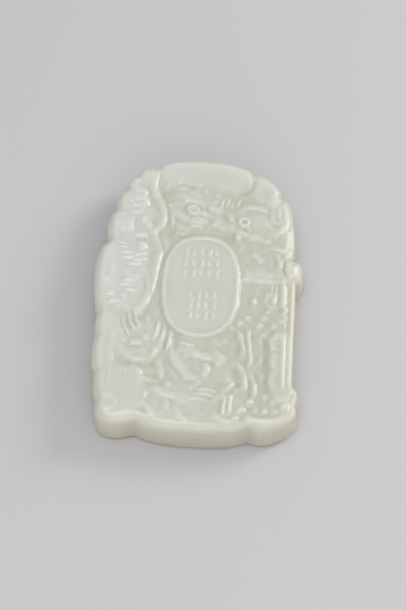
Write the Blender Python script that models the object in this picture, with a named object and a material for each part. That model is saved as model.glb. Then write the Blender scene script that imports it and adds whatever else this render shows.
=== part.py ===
"""A carved jade plaque pendant lying on its back.

One piece of stone: a thick tablet with a cloud-lobed outline, soft edges and a flat, polished back. Its
face is carved in low relief: two beast heads among clouds and ribbons, an oval cartouche with two
groups of shallow strokes, a beam with a round knob, a straight column and a stepped base.
"""

import math

import bmesh
import bpy
import numpy as np
from mathutils import Vector
from mathutils.geometry import delaunay_2d_cdt

MM = 0.001

# The tablet: +Y is its length, +Z its thickness, and its back lies on z = 0.
LENGTH = 59.0 * MM
WIDTH = 40.6 * MM
THICKNESS = 9.0 * MM
FACE_ROUND_IN = 1.9 * MM  # how far in from the outline the face starts to roll over
FACE_ROUND_DOWN = 2.6 * MM  # how far down that rounding reaches
WALL_LEAN = 0.3 * MM  # the side wall leans in by this much from its widest line to the face rounding
WIDEST_HEIGHT = 1.9 * MM  # the height of the widest line above the back
BACK_ROUND_IN = 0.9 * MM  # how far in from the outline the flat of the back starts
RELIEF_DEPTH = 0.7 * MM  # from the face down to the ground between the carved forms

# The surface is shaped finely first and then thinned to a solid of flat triangles.
FINE_SPACING = 0.25 * MM
SOLID_TRIANGLES = 9400
FLAT_BACK_SNAP = 0.06 * MM
SIDE_STEPS = 6

STONE_COLOUR = (0.62, 0.62, 0.55, 1.0)
STONE_ROUGHNESS = 0.22
STONE_TRANSLUCENCY = 0.6
STONE_LIGHT_DEPTH = 2.0 * MM

# On the drawing sheet: how far from the outline the carving fades out, how sharply the highest forms
# meet the slab's face, and how far in from the outline the wall's lean is spread.
EDGE_BARE = 1.0
TOP_CRISPNESS = 7.0
LEAN_REACH = 3.5

# A cut of the wheel: its width and height against the drawn ones, the share of its height that is taken
# from the ground beside it, how much of it is left at its very end, and its gentler side, up and left.
CUT_SPREAD = 1.35
CUT_HEIGHT = 0.6
CUT_BESIDE = 0.3
CUT_END = 0.06
GENTLE_SIDE = (-0.8, 0.6)

# The uneven lower ground: its height, how its waves turn across and along the sheet, and the height at
# which it has faded out, with the depth over which it fades.
LUMP_HEIGHT = 0.06
LUMP_TURNS = (1.9, 1.3, 1.1, 1.6, 1.2, 1.3)
LUMP_TOP = -0.2
LUMP_FADE = 0.25

# The column's outer face is a bevel and not a round: its width, its fall to one across, the radius of
# its crisp edge, its lower and upper ends on the sheet, the length over which it fades in at them, and
# the place across the sheet from which on it is cut.
COLUMN_WIDTH = 1.1
COLUMN_TILT = 0.5
COLUMN_EDGE = 0.5
COLUMN_ENDS = (-19.7, 3.2)
COLUMN_FADE = 1.5
COLUMN_FROM = 15.5

# The notches between lobes are worn round: how far from its corner a notch is worn, and how much. The
# base's two notches, below this line, are worn the most.
NOTCH_REACH = 1.2
NOTCH_WEAR = 0.12
BASE_NOTCH_REACH = 3.6
BASE_NOTCH_WEAR = 1.6
BASE_TOP = -25.0

# The carving is drawn on a sheet of squares, one square to a millimetre of this tablet, with the
# middle of the tablet near (0, 0). The sheet is then laid on the tablet's own width and length.
# Each lobe of the outline runs clockwise from its first corner to the next lobe's, as a bowed curve:
# (corner x, corner y, bow outwards, fullness, lean towards its end).
LOBES = (
    (-9.3, 27.0, 2.65, 2.0, 1.0),
    (9.6, 26.3, 1.65, 2.0, 1.0),
    (15.0, 21.2, 1.70, 1.3, 0.55),
    (17.6, 7.7, 1.65, 2.0, 0.75),
    (18.3, 2.6, 0.0, 1.0, 1.0),
    (18.2, -18.8, 0.85, 1.0, 0.75),
    (18.9, -22.6, 2.9, 2.0, 0.9),
    (10.1, -27.3, 2.15, 2.5, 1.0),
    (-10.1, -26.9, 3.15, 1.8, 1.35),
    (-17.75, -23.5, 0.40, 2.0, 1.0),
    (-18.45, -17.9, 0.75, 1.6, 1.0),
    (-18.7, -10.0, 0.40, 2.0, 1.0),
    (-18.8, -5.7, 1.80, 2.0, 1.6),
    (-17.75, 10.2, 0.90, 2.0, 1.3),
    (-16.8, 17.1, 0.80, 2.0, 1.3),
    (-15.2, 21.8, 0.75, 2.0, 1.0),
    (-13.1, 25.2, 0.95, 2.0, 1.0),
)


def bowed(start, end, bow, fullness=1.0, lean=1.0, steps=24):
    """Points on a curve from start to end that bows out to its left. Fullness 2 is half an ellipse."""
    share = (1 - np.cos(np.linspace(0, math.pi, steps + 1))) / 2
    leant = share**lean
    out = bow * np.clip(4 * leant * (1 - leant), 0, 1) ** (1 / fullness)
    start, end = np.array(start, float), np.array(end, float)
    along = end - start
    left = np.array((-along[1], along[0])) / np.hypot(*along)
    return start + share[:, None] * along + out[:, None] * left


def oval(x, y, half_x, half_y, power=2.0, turn=0.0, steps=72):
    """A closed loop: an ellipse, or with a higher power one with flatter sides."""
    angle = np.linspace(0, 2 * math.pi, steps, endpoint=False)
    across = half_x * np.sign(np.cos(angle)) * np.abs(np.cos(angle)) ** (2 / power)
    up = half_y * np.sign(np.sin(angle)) * np.abs(np.sin(angle)) ** (2 / power)
    c, s = math.cos(math.radians(turn)), math.sin(math.radians(turn))
    return np.stack([x + c * across - s * up, y + s * across + c * up], 1)


def flowing(points, steps=8):
    """A smooth curve through a few points."""
    p = np.array(points, float)
    p = np.concatenate([2 * p[:1] - p[1:2], p, 2 * p[-1:] - p[-2:-1]])
    t = np.linspace(0, 1, steps, endpoint=False)[:, None]
    spans = []
    for a, b, c, d in zip(p[:-3], p[1:-2], p[2:-1], p[3:]):
        spans.append(b + t * (c - a) / 2 + t**2 * (a - 2.5 * b + 2 * c - d / 2)
                     + t**3 * (1.5 * (b - c) + (d - a) / 2))
    return np.concatenate([*spans, p[-2:-1]])


def evenly(route, spacing, closed=False):
    """The route again, with its points an even step apart."""
    if closed:
        route = np.concatenate([route, route[:1]])
    run = np.concatenate([[0], np.cumsum(np.hypot(*np.diff(route, axis=0).T))])
    count = max(2, round(run[-1] / spacing))
    at = np.linspace(0, run[-1], count + 1)[: count if closed else None]
    return np.stack([np.interp(at, run, route[:, 0]), np.interp(at, run, route[:, 1])], 1)


def inward_of(outline):
    """The direction into the stone at each point of the outline, which runs clockwise."""
    edge = np.roll(outline, -1, axis=0) - np.roll(outline, 1, axis=0)
    return np.stack([edge[:, 1], -edge[:, 0]], 1) / np.hypot(*edge.T)[:, None]


def lobed_outline(spacing):
    """The outline of the tablet on the drawing sheet, with the notches between its lobes worn round."""
    pieces = []
    for lobe, following in zip(LOBES, LOBES[1:] + LOBES[:1]):
        curve = bowed(lobe[:2], following[:2], lobe[2], lobe[3], lobe[4], steps=48)
        pieces.append(evenly(curve, spacing)[:-1])
    outline = np.concatenate(pieces)
    wear = np.zeros(len(outline))
    for lobe in LOBES:
        at_base = lobe[1] < BASE_TOP
        reach = BASE_NOTCH_REACH if at_base else NOTCH_REACH
        most = 1.0 if at_base else NOTCH_WEAR / BASE_NOTCH_WEAR
        wear = np.maximum(wear, most * eased(1 - np.hypot(*(outline - lobe[:2]).T) / reach))
    for _ in range(round(BASE_NOTCH_WEAR / spacing**2)):
        middle = (np.roll(outline, 1, axis=0) + np.roll(outline, -1, axis=0)) / 2
        outline = outline + (middle - outline) * wear[:, None]
    return outline


def nearest(route, x, y, closed=False):
    """For each place: its distance to the route, how far along the route that is, from 0 to 1, and how
    squarely it lies on the route's gentle side, from 1 there to -1 on the other."""
    ends = np.roll(route, -1, axis=0) if closed else route[1:]
    starts = route if closed else route[:-1]
    best = np.full(x.shape, np.inf)
    share = np.zeros(x.shape)
    side = np.zeros(x.shape)
    for number, (a, b) in enumerate(zip(starts, ends)):
        along = b - a
        t = ((x - a[0]) * along[0] + (y - a[1]) * along[1]) / max(along @ along, 1e-12)
        t = np.clip(t, 0, 1)
        dx, dy = x - a[0] - t * along[0], y - a[1] - t * along[1]
        d = np.hypot(dx, dy)
        closer = d < best
        best[closer] = d[closer]
        share[closer] = (number + t[closer]) / len(starts)
        side[closer] = ((dx * GENTLE_SIDE[0] + dy * GENTLE_SIDE[1]) / np.maximum(d, 1e-9))[closer]
    return best, share, side


def drawn_in(outline, inward, distance, share, lean, reach):
    """The move that draws the face in from the widest line: all of the lean at the outline and none
    past the reach."""
    index = np.round(share * len(outline)).astype(int) % len(outline)
    return inward[index] * (lean * eased(1 - distance / reach))[:, None]


def is_inside(loop, x, y):
    """True for each place inside the closed loop."""
    found = np.zeros(x.shape, bool)
    for a, b in zip(loop, np.roll(loop, -1, axis=0)):
        if a[1] == b[1]:
            continue
        level = (a[1] > y) != (b[1] > y)
        found ^= level & (x < a[0] + (y - a[1]) * (b[0] - a[0]) / (b[1] - a[1]))
    return found


def eased(value):
    """0 to 1 with soft ends."""
    value = np.clip(value, 0, 1)
    return value * value * (3 - 2 * value)


class Relief:
    """The height of the carving at many places of the sheet, in millimetres over the face."""

    def __init__(self, x, y, ground):
        self.x, self.y = x, y
        self.z = np.full(x.shape, ground)

    def near(self, loop, reach):
        """True for each place within reach of the box round a curve."""
        low, high = loop.min(0) - reach, loop.max(0) + reach
        return (self.x > low[0]) & (self.x < high[0]) & (self.y > low[1]) & (self.y < high[1])

    def level(self, loop, height, slope=2.0, dome=0.0, size=2.0):
        """Brings the area inside the loop to a height, with a soft slope round its edge."""
        near = self.near(loop, slope)
        x, y = self.x[near], self.y[near]
        distance, _, _ = nearest(loop, x, y, closed=True)
        signed = np.where(is_inside(loop, x, y), distance, -distance)
        mix = eased(signed / slope + 0.5)
        crown = dome * eased(signed / size)
        self.z[near] += (height + crown - self.z[near]) * mix

    def swell(self, x, y, half_x, half_y, height, turn=0.0):
        """Adds a soft round swelling, or a hollow where the height is negative."""
        c, s = math.cos(math.radians(turn)), math.sin(math.radians(turn))
        across = (c * (self.x - x) + s * (self.y - y)) / half_x
        up = (c * (self.y - y) - s * (self.x - x)) / half_y
        self.z += height * (1 - eased(np.hypot(across, up)))

    def swells(self, height, places):
        """Several swellings of one height, each given as (x, y, half width, half length)."""
        for place in places:
            self.swell(*place, height)

    def stroke(self, route, width, height, gentle=1.8, melt=0.3, taper=0.0):
        """Adds a rounded ridge along the route, or a groove where the height is negative, with a faint
        hollow or ridge beside it. Its upper left side is gentler, and its ends melt into the ground."""
        near = self.near(route, width * CUT_SPREAD * gentle)
        distance, share, side = nearest(route, self.x[near], self.y[near])
        half = width * CUT_SPREAD / 2 * (1 + (gentle - 1) * (1 + side) / 2) * (1 - taper * share)
        ridge = np.cos(np.clip(distance / half, 0, 1) * math.pi) / 2 + 0.5
        beside = np.cos(np.clip(distance / half / 2, 0, 1) * math.pi) / 2 + 0.5
        shape = (ridge - CUT_BESIDE * beside) / (1 - CUT_BESIDE)
        if melt:
            shape *= eased((np.minimum(share, 1 - share) + CUT_END) / melt)
        self.z[near] += height * CUT_HEIGHT * shape

    def strokes(self, start, end, bow, width, height, count=1, step=(0, 0), **kind):
        """The same bowed stroke several times, each a step from the last."""
        for number in range(count):
            shift = number * np.array(step, float)
            self.stroke(bowed(start + shift, end + shift, bow, steps=10), width, height, **kind)

    def curve(self, places, width, height, **kind):
        """One stroke that flows through a few places."""
        self.stroke(flowing(places), width, height, **kind)

    def ring(self, loop, width, height, gentle=1.2):
        """A raised line all along a closed loop."""
        self.stroke(np.concatenate([loop, loop[:1]]), width, height, gentle, melt=0)

    def uneven(self, height):
        """Adds the soft waves that the wheel leaves on the lower ground and not on the high forms."""
        wave = LUMP_TURNS
        waves = (np.sin(wave[0] * self.x + wave[1] * np.sin(wave[2] * self.y))
                 * np.sin(wave[3] * self.y + wave[4] * np.sin(wave[5] * self.x)))
        self.z += height * waves * eased((LUMP_TOP - self.z) / LUMP_FADE)

    def worn_to_face(self):
        """The heights, with the highest forms worn round: the stone was a slab, so none stands above it."""
        return -np.log1p(np.exp(-self.z * TOP_CRISPNESS)) / TOP_CRISPNESS


def lay_masses(relief):
    """The broad masses, each brought to its own height with soft slopes between them."""
    # the two banks of cloud down the left edge
    relief.level(flowing([(-21, 29), (-10.0, 28), (-9.4, 20), (-8.6, 15), (-9.4, 10), (-9.6, 5), (-10.2, 0),
                          (-11.2, -4.4), (-15, -5.0), (-21, -5)]), -0.26, 3.6)
    relief.level(flowing([(-21, -4.6), (-15.6, -5.4), (-13.9, -9.0), (-14.0, -16.0), (-13.4, -20.5),
                          (-12.2, -23.0), (-10.5, -24.6), (-10.0, -30), (-21, -30)]), -0.24, 3.2)
    # the cap along the top and the two lobes at its right
    relief.level(oval(0.2, 26.6, 9.6, 4.9, power=3), -0.14, 3.4)
    relief.level(oval(12.0, 22.4, 3.4, 3.6, power=2.4), -0.26, 2.4)
    relief.level(oval(15.2, 16.8, 2.6, 4.2, turn=8), -0.3, 2.6)
    # the two heads, the coil under the panel, the haunch beside it and the stepped rock
    relief.level(oval(-1.2, 18.0, 5.6, 5.2), -0.38, 3.6)
    relief.level(oval(9.4, 15.4, 4.8, 3.6), -0.4, 3.2)
    relief.level(oval(0.6, -15.6, 5.4, 6.2), -0.42, 3.4)
    relief.level(oval(-10.0, -11.2, 4.4, 4.2), -0.4, 3.0)
    relief.level(oval(-0.5, -23.4, 9.5, 4.0, power=2.6), -0.36, 3.0)
    relief.level(oval(-12.2, -20.4, 3.2, 4.4, power=3), -0.2, 2.6)
    # the lobed cloud beside the column, the beam with its knob, and the column's outer face
    relief.level(oval(15.9, -15.2, 2.5, 7.2, power=3), -0.26, 2.0)
    relief.level(np.array([(8.0, 2.4), (18.6, 2.0), (18.6, 5.0), (8.2, 5.4)]), -0.42, 2.2)
    relief.level(oval(18.0, 5.3, 2.2, 2.4), -0.14, 1.2)
    relief.level(np.array([(17.75, 2.4), (19.8, 2.4), (19.8, -20.6), (17.65, -20.6)]), -0.02, 0.6)
    # the steps of the base
    relief.level(flowing([(-10.6, -25.6), (-7.8, -26.4), (-6.4, -27.2), (9.0, -27.4), (10.3, -26.0),
                          (10.4, -31.0), (-10.6, -31.0)]), -0.16, 3.0)
    relief.level(flowing([(9.8, -26.0), (15.6, -26.0), (18.0, -25.0), (19.0, -22.6), (21.0, -22.0),
                          (21.0, -31.0), (9.8, -31.0)]), -0.12, 1.4)
    # the deepest ground: beside the right clouds, right of the panel and between the heads
    relief.swells(-0.16, ((12.5, -13.5, 1.9, 7.5), (9.6, -0.6, 1.6, 3.4), (4.9, 11.4, 2.4, 1.6),
                          (-5.9, 12.2, 1.3, 2.8)))


def carve_top(relief):
    """The bright turned ends of the cap and of the lobes beside it."""
    relief.curve([(6.6, 21.2), (8.4, 21.8), (9.4, 23.3), (9.6, 25.8)], 1.3, -0.36, gentle=1)
    relief.curve([(11.8, 18.8), (13.6, 19.5), (14.4, 20.9), (14.5, 22.6), (13.4, 24.8)],
                 1.4, 0.5, gentle=2.6)
    relief.curve([(13.4, 12.6), (15.2, 13.4), (16.4, 14.8), (16.8, 16.4), (16.6, 18.2), (15.8, 19.9)],
                 1.6, 0.62, gentle=2)
    relief.swells(0.1, ((3.5, 26.0, 3.2, 1.0), (-3.0, 25.4, 3.0, 1.2)))
    relief.swells(0.16, ((-4.5, 23.7, 0.7, 0.8), (-0.8, 23.2, 0.8, 0.9), (0.4, 21.4, 0.8, 1.0),
                         (2.7, 20.9, 0.8, 1.0)))
    relief.strokes((-5.6, 22.9), (-2.0, 22.3), 0.3, 1.1, -0.16)


def carve_left_clouds(relief):
    """Billows of cloud down the left edge, with tufts of hair combed over them."""
    relief.swells(0.12, ((-11.2, 24.4, 2.4, 2.6), (-13.4, 21.8, 2.4, 2.8), (-14.8, 18.4, 2.6, 2.8),
                         (-15.6, 14.2, 2.8, 3.2), (-16.8, 6.6, 3.2, 4.0), (-17.0, 0.6, 3.4, 4.0)))
    for start, end in (((-13.4, 25.2), (-11.6, 23.2)), ((-15.2, 21.6), (-13.2, 20.4)),
                       ((-16.8, 17.0), (-14.6, 16.4)), ((-17.8, 10.2), (-14.8, 10.4))):
        relief.strokes(start, end, 0.2, 1.6, -0.16, taper=0.4)
    # the top tuft: hooked locks, with a leaf and knots under it
    relief.swell(-11.8, 18.8, 2.4, 2.8, 0.14)
    relief.curve([(-13.6, 20.3), (-12.3, 21.0), (-11.2, 20.7), (-11.4, 19.8)], 1.2, 0.44)
    relief.curve([(-13.8, 18.9), (-12.3, 19.6), (-11.0, 19.2), (-10.8, 18.2), (-11.6, 17.6)], 1.2, 0.46)
    relief.curve([(-13.6, 17.6), (-12.4, 18.0), (-11.6, 17.8)], 1.0, 0.26)
    relief.strokes((-13.4, 16.5), (-11.2, 16.7), -0.2, 1.0, 0.26)
    relief.swells(0.3, ((-10.9, 14.9, 0.9, 1.2), (-9.9, 13.6, 1.0, 0.9), (-13.5, 18.7, 0.7, 0.6)))
    relief.curve([(-14.8, 14.8), (-14.0, 13.6), (-13.3, 11.6)], 1.7, 0.44)
    relief.strokes((-13.2, 15.6), (-13.3, 12.4), 0.0, 0.9, 0.26)
    relief.strokes((-16.6, 13.8), (-14.6, 12.0), 0.3, 1.4, 0.26)
    relief.strokes((-12.4, 11.2), (-10.0, 11.2), 0.1, 1.0, 0.32)
    relief.strokes((-12.4, 10.2), (-10.4, 10.3), 0.0, 1.2, -0.26)
    # the middle tuft under its round knot
    relief.swell(-12.0, 6.8, 2.6, 2.4, 0.12)
    relief.swell(-10.9, 8.9, 1.2, 1.3, 0.4)
    for start, end in (((-14.6, 7.5), (-12.4, 7.6)), ((-12.4, 7.0), (-10.2, 7.3)),
                       ((-14.4, 6.4), (-12.0, 6.6)), ((-12.6, 5.8), (-10.2, 6.1)),
                       ((-13.6, 5.2), (-10.8, 5.1))):
        relief.strokes(start, end, -0.15, 0.7, 0.32, gentle=1.3)
    # the lower tuft
    relief.curve([(-13.6, 3.8), (-13.2, 2.6), (-12.9, 1.6)], 1.2, 0.36)
    relief.swell(-12.0, 2.2, 1.3, 0.9, 0.22)
    relief.curve([(-14.4, 1.2), (-13.0, 1.5), (-11.6, 1.3)], 0.7, 0.3, gentle=1.3)
    relief.curve([(-14.7, 0.4), (-13.4, 0.6), (-12.2, 0.2)], 0.7, 0.3, gentle=1.3)
    relief.curve([(-13.8, -0.6), (-12.6, -0.5), (-11.7, -0.9)], 0.7, 0.28, gentle=1.3)
    relief.swells(0.22, ((-16.2, 3.6, 0.9, 1.3), (-17.3, 1.5, 1.0, 0.9), (-16.0, -1.4, 1.2, 0.9),
                         (-13.8, -1.8, 1.2, 0.9)))
    relief.strokes((-19.2, 0.8), (-18.5, -3.8), -0.3, 1.1, 0.3)
    relief.strokes((-16.6, -3.1), (-14.2, -3.3), 0.1, 0.9, 0.24)


def carve_long_body(relief):
    """The long body that winds down from the top left, past the cartouche, to a paw."""
    relief.curve([(-9.0, 25.4), (-9.3, 23.0), (-9.0, 21.0), (-7.9, 18.8), (-7.3, 16.8), (-7.2, 14.9),
                  (-7.6, 13.3), (-8.6, 12.2)], 1.0, 0.54, gentle=3.0, melt=0.12)
    relief.curve([(-8.9, 12.0), (-8.1, 9.8), (-7.6, 7.8), (-7.9, 5.4), (-8.3, 2.6), (-8.6, 0.2),
                  (-9.2, -2.0), (-10.4, -5.2)], 1.0, 0.42, gentle=2.6, melt=0.12)
    relief.strokes((-8.2, 21.2), (-8.2, 23.6), 0.0, 0.7, 0.2)
    relief.swell(-6.3, 18.2, 0.6, 0.6, 0.3)
    relief.strokes((-5.5, 13.9), (-5.7, 17.0), 0.0, 0.9, 0.3)
    relief.curve([(-6.9, 10.4), (-6.4, 9.5), (-6.9, 8.4)], 1.0, 0.28)
    relief.strokes((-9.5, 3.4), (-9.5, -1.6), 0.1, 0.7, 0.22)
    relief.curve([(-10.2, -1.4), (-10.2, -3.2), (-11.2, -5.4)], 1.6, 0.2)
    # the paw's curved claws
    relief.curve([(-11.6, -4.2), (-11.2, -6.4), (-10.2, -8.4)], 0.75, 0.44, gentle=1.2)
    relief.curve([(-12.6, -5.2), (-12.2, -7.2), (-11.1, -9.0)], 0.75, 0.44, gentle=1.2)
    relief.curve([(-13.6, -6.2), (-13.2, -8.2), (-12.3, -10.0)], 0.8, 0.4, gentle=1.2)
    relief.swell(-9.0, -6.3, 0.8, 1.2, 0.24)
    # three big claws under the cartouche's left shoulder
    for x, y in ((-7.0, -6.3), (-5.9, -7.5), (-4.7, -8.8)):
        relief.curve([(x, y), (x - 0.1, y - 2.4), (x - 0.8, y - 4.8)], 0.85, 0.62, gentle=1.1, melt=0.4)


def carve_left_head(relief):
    """The beast looking out over the cartouche: forehead, round eye, wrinkled nose and teeth."""
    relief.swells(0.16, ((-2.6, 20.4, 3.4, 1.9), (-0.6, 15.0, 2.6, 2.2), (-2.0, 17.4, 1.8, 1.6)))
    relief.ring(oval(-1.8, 17.4, 0.9, 0.85), 0.8, 0.42)
    relief.swell(-1.8, 17.4, 0.5, 0.5, 0.16)
    relief.curve([(-4.6, 19.0), (-2.6, 19.4), (-0.6, 19.1), (0.6, 18.2)], 1.1, 0.3)
    relief.curve([(-5.2, 17.2), (-4.0, 16.0), (-2.4, 15.2)], 1.2, 0.3)
    relief.curve([(-1.6, 16.0), (-0.2, 16.7), (1.2, 16.2)], 0.9, 0.4)
    for number, (reach, dip, height) in enumerate(((0.6, 0.3, 0.34), (0.2, 0.1, 0.3), (0.4, 0.3, 0.2))):
        y = 15.3 - 0.75 * number
        relief.curve([(-2.3 - 0.3 * number, y - dip), (-1.0, y + 0.1), (reach, y - dip)], 0.65, height)
    relief.strokes((-4.6, 13.4), (-2.6, 12.8), 0.15, 1.0, 0.32)
    relief.strokes((-4.8, 12.4), (-3.0, 12.2), 0.0, 0.8, 0.24)
    relief.strokes((0.9, 18.0), (3.4, 16.9), 0.25, 1.3, 0.42)
    relief.strokes((-4.8, 20.6), (-2.6, 18.9), 0.3, 1.0, 0.26)
    relief.swells(0.18, ((-4.1, 22.0, 1.1, 0.7), (-0.8, 20.4, 0.9, 0.7), (2.2, 19.3, 1.0, 0.8)))
    relief.swells(-0.16, ((-2.1, 22.0, 0.9, 0.7), (1.4, 15.2, 1.0, 1.2), (-3.6, 17.9, 0.7, 0.7)))
    # the hair standing up between the two heads
    for number in range(4):
        x = 3.6 + 1.0 * number
        relief.curve([(x - 0.2, 17.8 + 0.2 * number), (x, 19.2), (x + 0.4, 20.4)], 0.8, 0.26, gentle=1.3)
    relief.strokes((5.2, 16.9), (5.5, 15.1), 0.0, 1.0, 0.3)
    relief.curve([(1.8, 14.9), (4.0, 14.3), (6.2, 13.2)], 1.6, 0.36)


def carve_right_head(relief):
    """The second beast: a pitted round eye, a long brow, a jaw and a pricked ear."""
    relief.swells(0.16, ((10.8, 15.4, 3.0, 2.2), (8.0, 15.2, 1.8, 1.7)))
    relief.ring(oval(7.9, 15.1, 0.85, 0.8), 0.75, 0.36)
    relief.swell(7.9, 15.1, 0.6, 0.6, -0.2)
    relief.strokes((8.4, 14.2), (9.1, 13.1), 0.1, 0.8, 0.24)
    relief.curve([(7.2, 17.2), (8.4, 18.3), (10.4, 18.4), (12.8, 17.6)], 1.1, 0.4)
    relief.curve([(5.6, 13.4), (7.6, 12.7), (9.4, 12.2), (13.0, 11.8)], 0.9, 0.36)
    relief.strokes((8.8, 11.6), (13.0, 11.1), 0.05, 0.7, 0.32)
    relief.swell(6.8, 11.9, 0.9, 1.4, 0.42)
    relief.curve([(7.2, 11.4), (7.7, 10.2), (7.4, 8.8)], 0.9, 0.24)
    relief.strokes((11.6, 15.4), (13.3, 13.9), 0.2, 1.1, 0.26)
    relief.strokes((13.5, 19.0), (13.4, 15.9), 0.0, 0.8, 0.28)
    relief.strokes((14.6, 18.9), (14.5, 16.0), 0.0, 0.8, 0.28)
    relief.curve([(13.2, 16.4), (13.6, 15.4), (14.6, 15.3), (14.8, 16.5)], 1.0, 0.28)


def carve_right_side(relief):
    """The beam with its knob, the column under it and the curls between."""
    relief.strokes((12.8, 9.9), (17.0, 9.0), 0.15, 1.0, 0.3)
    relief.curve([(13.6, 8.8), (14.6, 7.9), (15.0, 6.5), (14.7, 5.0)], 1.0, 0.4)
    relief.strokes((13.4, 7.6), (13.3, 5.6), 0.0, 0.8, 0.16)
    relief.strokes((9.6, 8.4), (11.5, 6.5), 0.25, 1.3, 0.4)
    relief.strokes((7.4, 4.0), (17.4, 3.5), 0.0, 1.0, 0.18, melt=0.2)
    relief.strokes((7.4, 2.9), (17.4, 2.5), 0.0, 1.0, 0.2, melt=0.2)
    relief.curve([(17.4, 8.2), (16.2, 7.2), (15.8, 5.4), (16.2, 3.8), (17.4, 2.8)], 1.0, -0.34, gentle=1)
    relief.strokes((17.0, 2.4), (16.9, -19.4), 0.0, 1.1, -0.3, gentle=1, melt=0.1)
    relief.strokes((15.8, 2.6), (15.8, -3.0), 0.0, 1.1, 0.4, gentle=1.4, melt=0.16)
    relief.curve([(16.2, -2.2), (16.5, -3.6), (15.2, -4.9)], 1.1, 0.34)
    relief.curve([(16.8, -4.3), (16.3, -5.6), (14.9, -6.1)], 0.9, 0.3)
    relief.swell(14.0, -1.4, 2.2, 2.8, 0.16)
    relief.curve([(13.8, 0.2), (12.8, -0.9), (12.8, -2.3), (14.1, -3.2)], 1.0, 0.3)
    relief.strokes((14.1, 0.0), (13.9, -2.2), 0.2, 0.9, 0.34)
    relief.swell(10.3, -1.8, 0.8, 1.5, 0.32)
    relief.swells(0.26, ((11.5, -6.8, 1.1, 1.0), (14.1, -6.8, 1.0, 0.9), (12.5, -5.2, 1.0, 0.9),
                         (9.3, -5.2, 1.0, 0.8), (7.9, -6.5, 1.1, 1.1), (13.1, -3.9, 0.9, 0.8),
                         (12.3, -8.9, 0.9, 0.9), (6.5, -7.4, 0.9, 0.9)))


def carve_cartouche(relief):
    """The oval panel: a smooth field in a thin raised rim, with two groups of shallow strokes in rows."""
    relief.level(oval(0.5, 0.9, 7.2, 10.7, power=2.5), -0.34, 1.6, dome=0.08, size=3)
    relief.ring(oval(0.4, 0.9, 6.9, 10.4, power=2.5, steps=96), 1.0, 0.36)
    # rows of short upright strokes that stand apart, each a little longer or shorter than its neighbour
    apart, row_drop, half_height, change, drift = 1.45, 2.2, 0.72, 0.2, 0.15
    for middle, top, rows, count in ((0.4, 7.9, 3, 5), (0.9, -1.0, 3, 4)):
        for row in range(rows):
            for place in range(count):
                uneven = math.sin(2.3 * place + 1.9 * row + top)
                x = middle + apart * (place - (count - 1) / 2) + drift * uneven
                y = top - row_drop * row
                along = np.array((drift * uneven, half_height + change * uneven))
                relief.strokes((x, y) - along, (x, y) + along, 0.1, 0.75, 0.3, gentle=1.2)


def carve_ribbons(relief):
    """The two ribbons that fall beside the column's clouds."""
    relief.curve([(7.4, -7.6), (8.3, -9.6), (8.8, -11.6), (8.9, -13.9)], 1.1, 0.46)
    relief.curve([(9.6, -7.2), (9.7, -10.0), (10.0, -12.4), (10.2, -14.2), (9.6, -16.0)],
                 0.9, 0.5, gentle=1.4)
    relief.curve([(7.2, -14.4), (8.5, -16.0), (9.3, -18.0), (9.2, -20.8)], 1.2, 0.56)
    relief.curve([(9.6, -15.6), (10.6, -18.0), (11.2, -20.4), (10.5, -22.8)], 1.0, 0.46, gentle=1.5)
    relief.strokes((12.7, -8.4), (14.0, -12.6), 0.3, 0.9, 0.26)
    relief.strokes((11.7, -9.4), (11.9, -15.4), 0.2, 0.9, 0.18)
    relief.swells(0.22, ((5.3, -10.4, 1.2, 1.1), (12.4, -17.6, 0.9, 1.4)))


def carve_right_clouds(relief):
    """The scallops of the cloud beside the column, and the pebbles on the base under it."""
    for x, y in ((14.5, -10.4), (14.6, -14.2), (14.4, -18.4)):
        relief.curve([(x + 0.6, y + 1.9), (x - 0.3, y + 0.9), (x - 0.4, y - 0.6), (x + 0.5, y - 1.8)],
                     1.4, 0.3, gentle=1.2)
    relief.strokes((16.3, -9.0), (16.3, -19.8), 0.0, 0.9, 0.16, gentle=1.2, melt=0.2)
    relief.swells(0.32, ((13.0, -21.5, 1.0, 0.9), (14.6, -22.6, 1.0, 0.9), (13.0, -24.6, 0.9, 1.1),
                         (14.9, -24.4, 1.1, 0.9), (10.2, -22.8, 1.0, 1.2), (8.9, -24.4, 1.1, 1.3),
                         (7.9, -26.2, 1.0, 0.8), (16.4, -23.3, 1.0, 1.0), (11.4, -24.4, 0.9, 0.9)))


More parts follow.
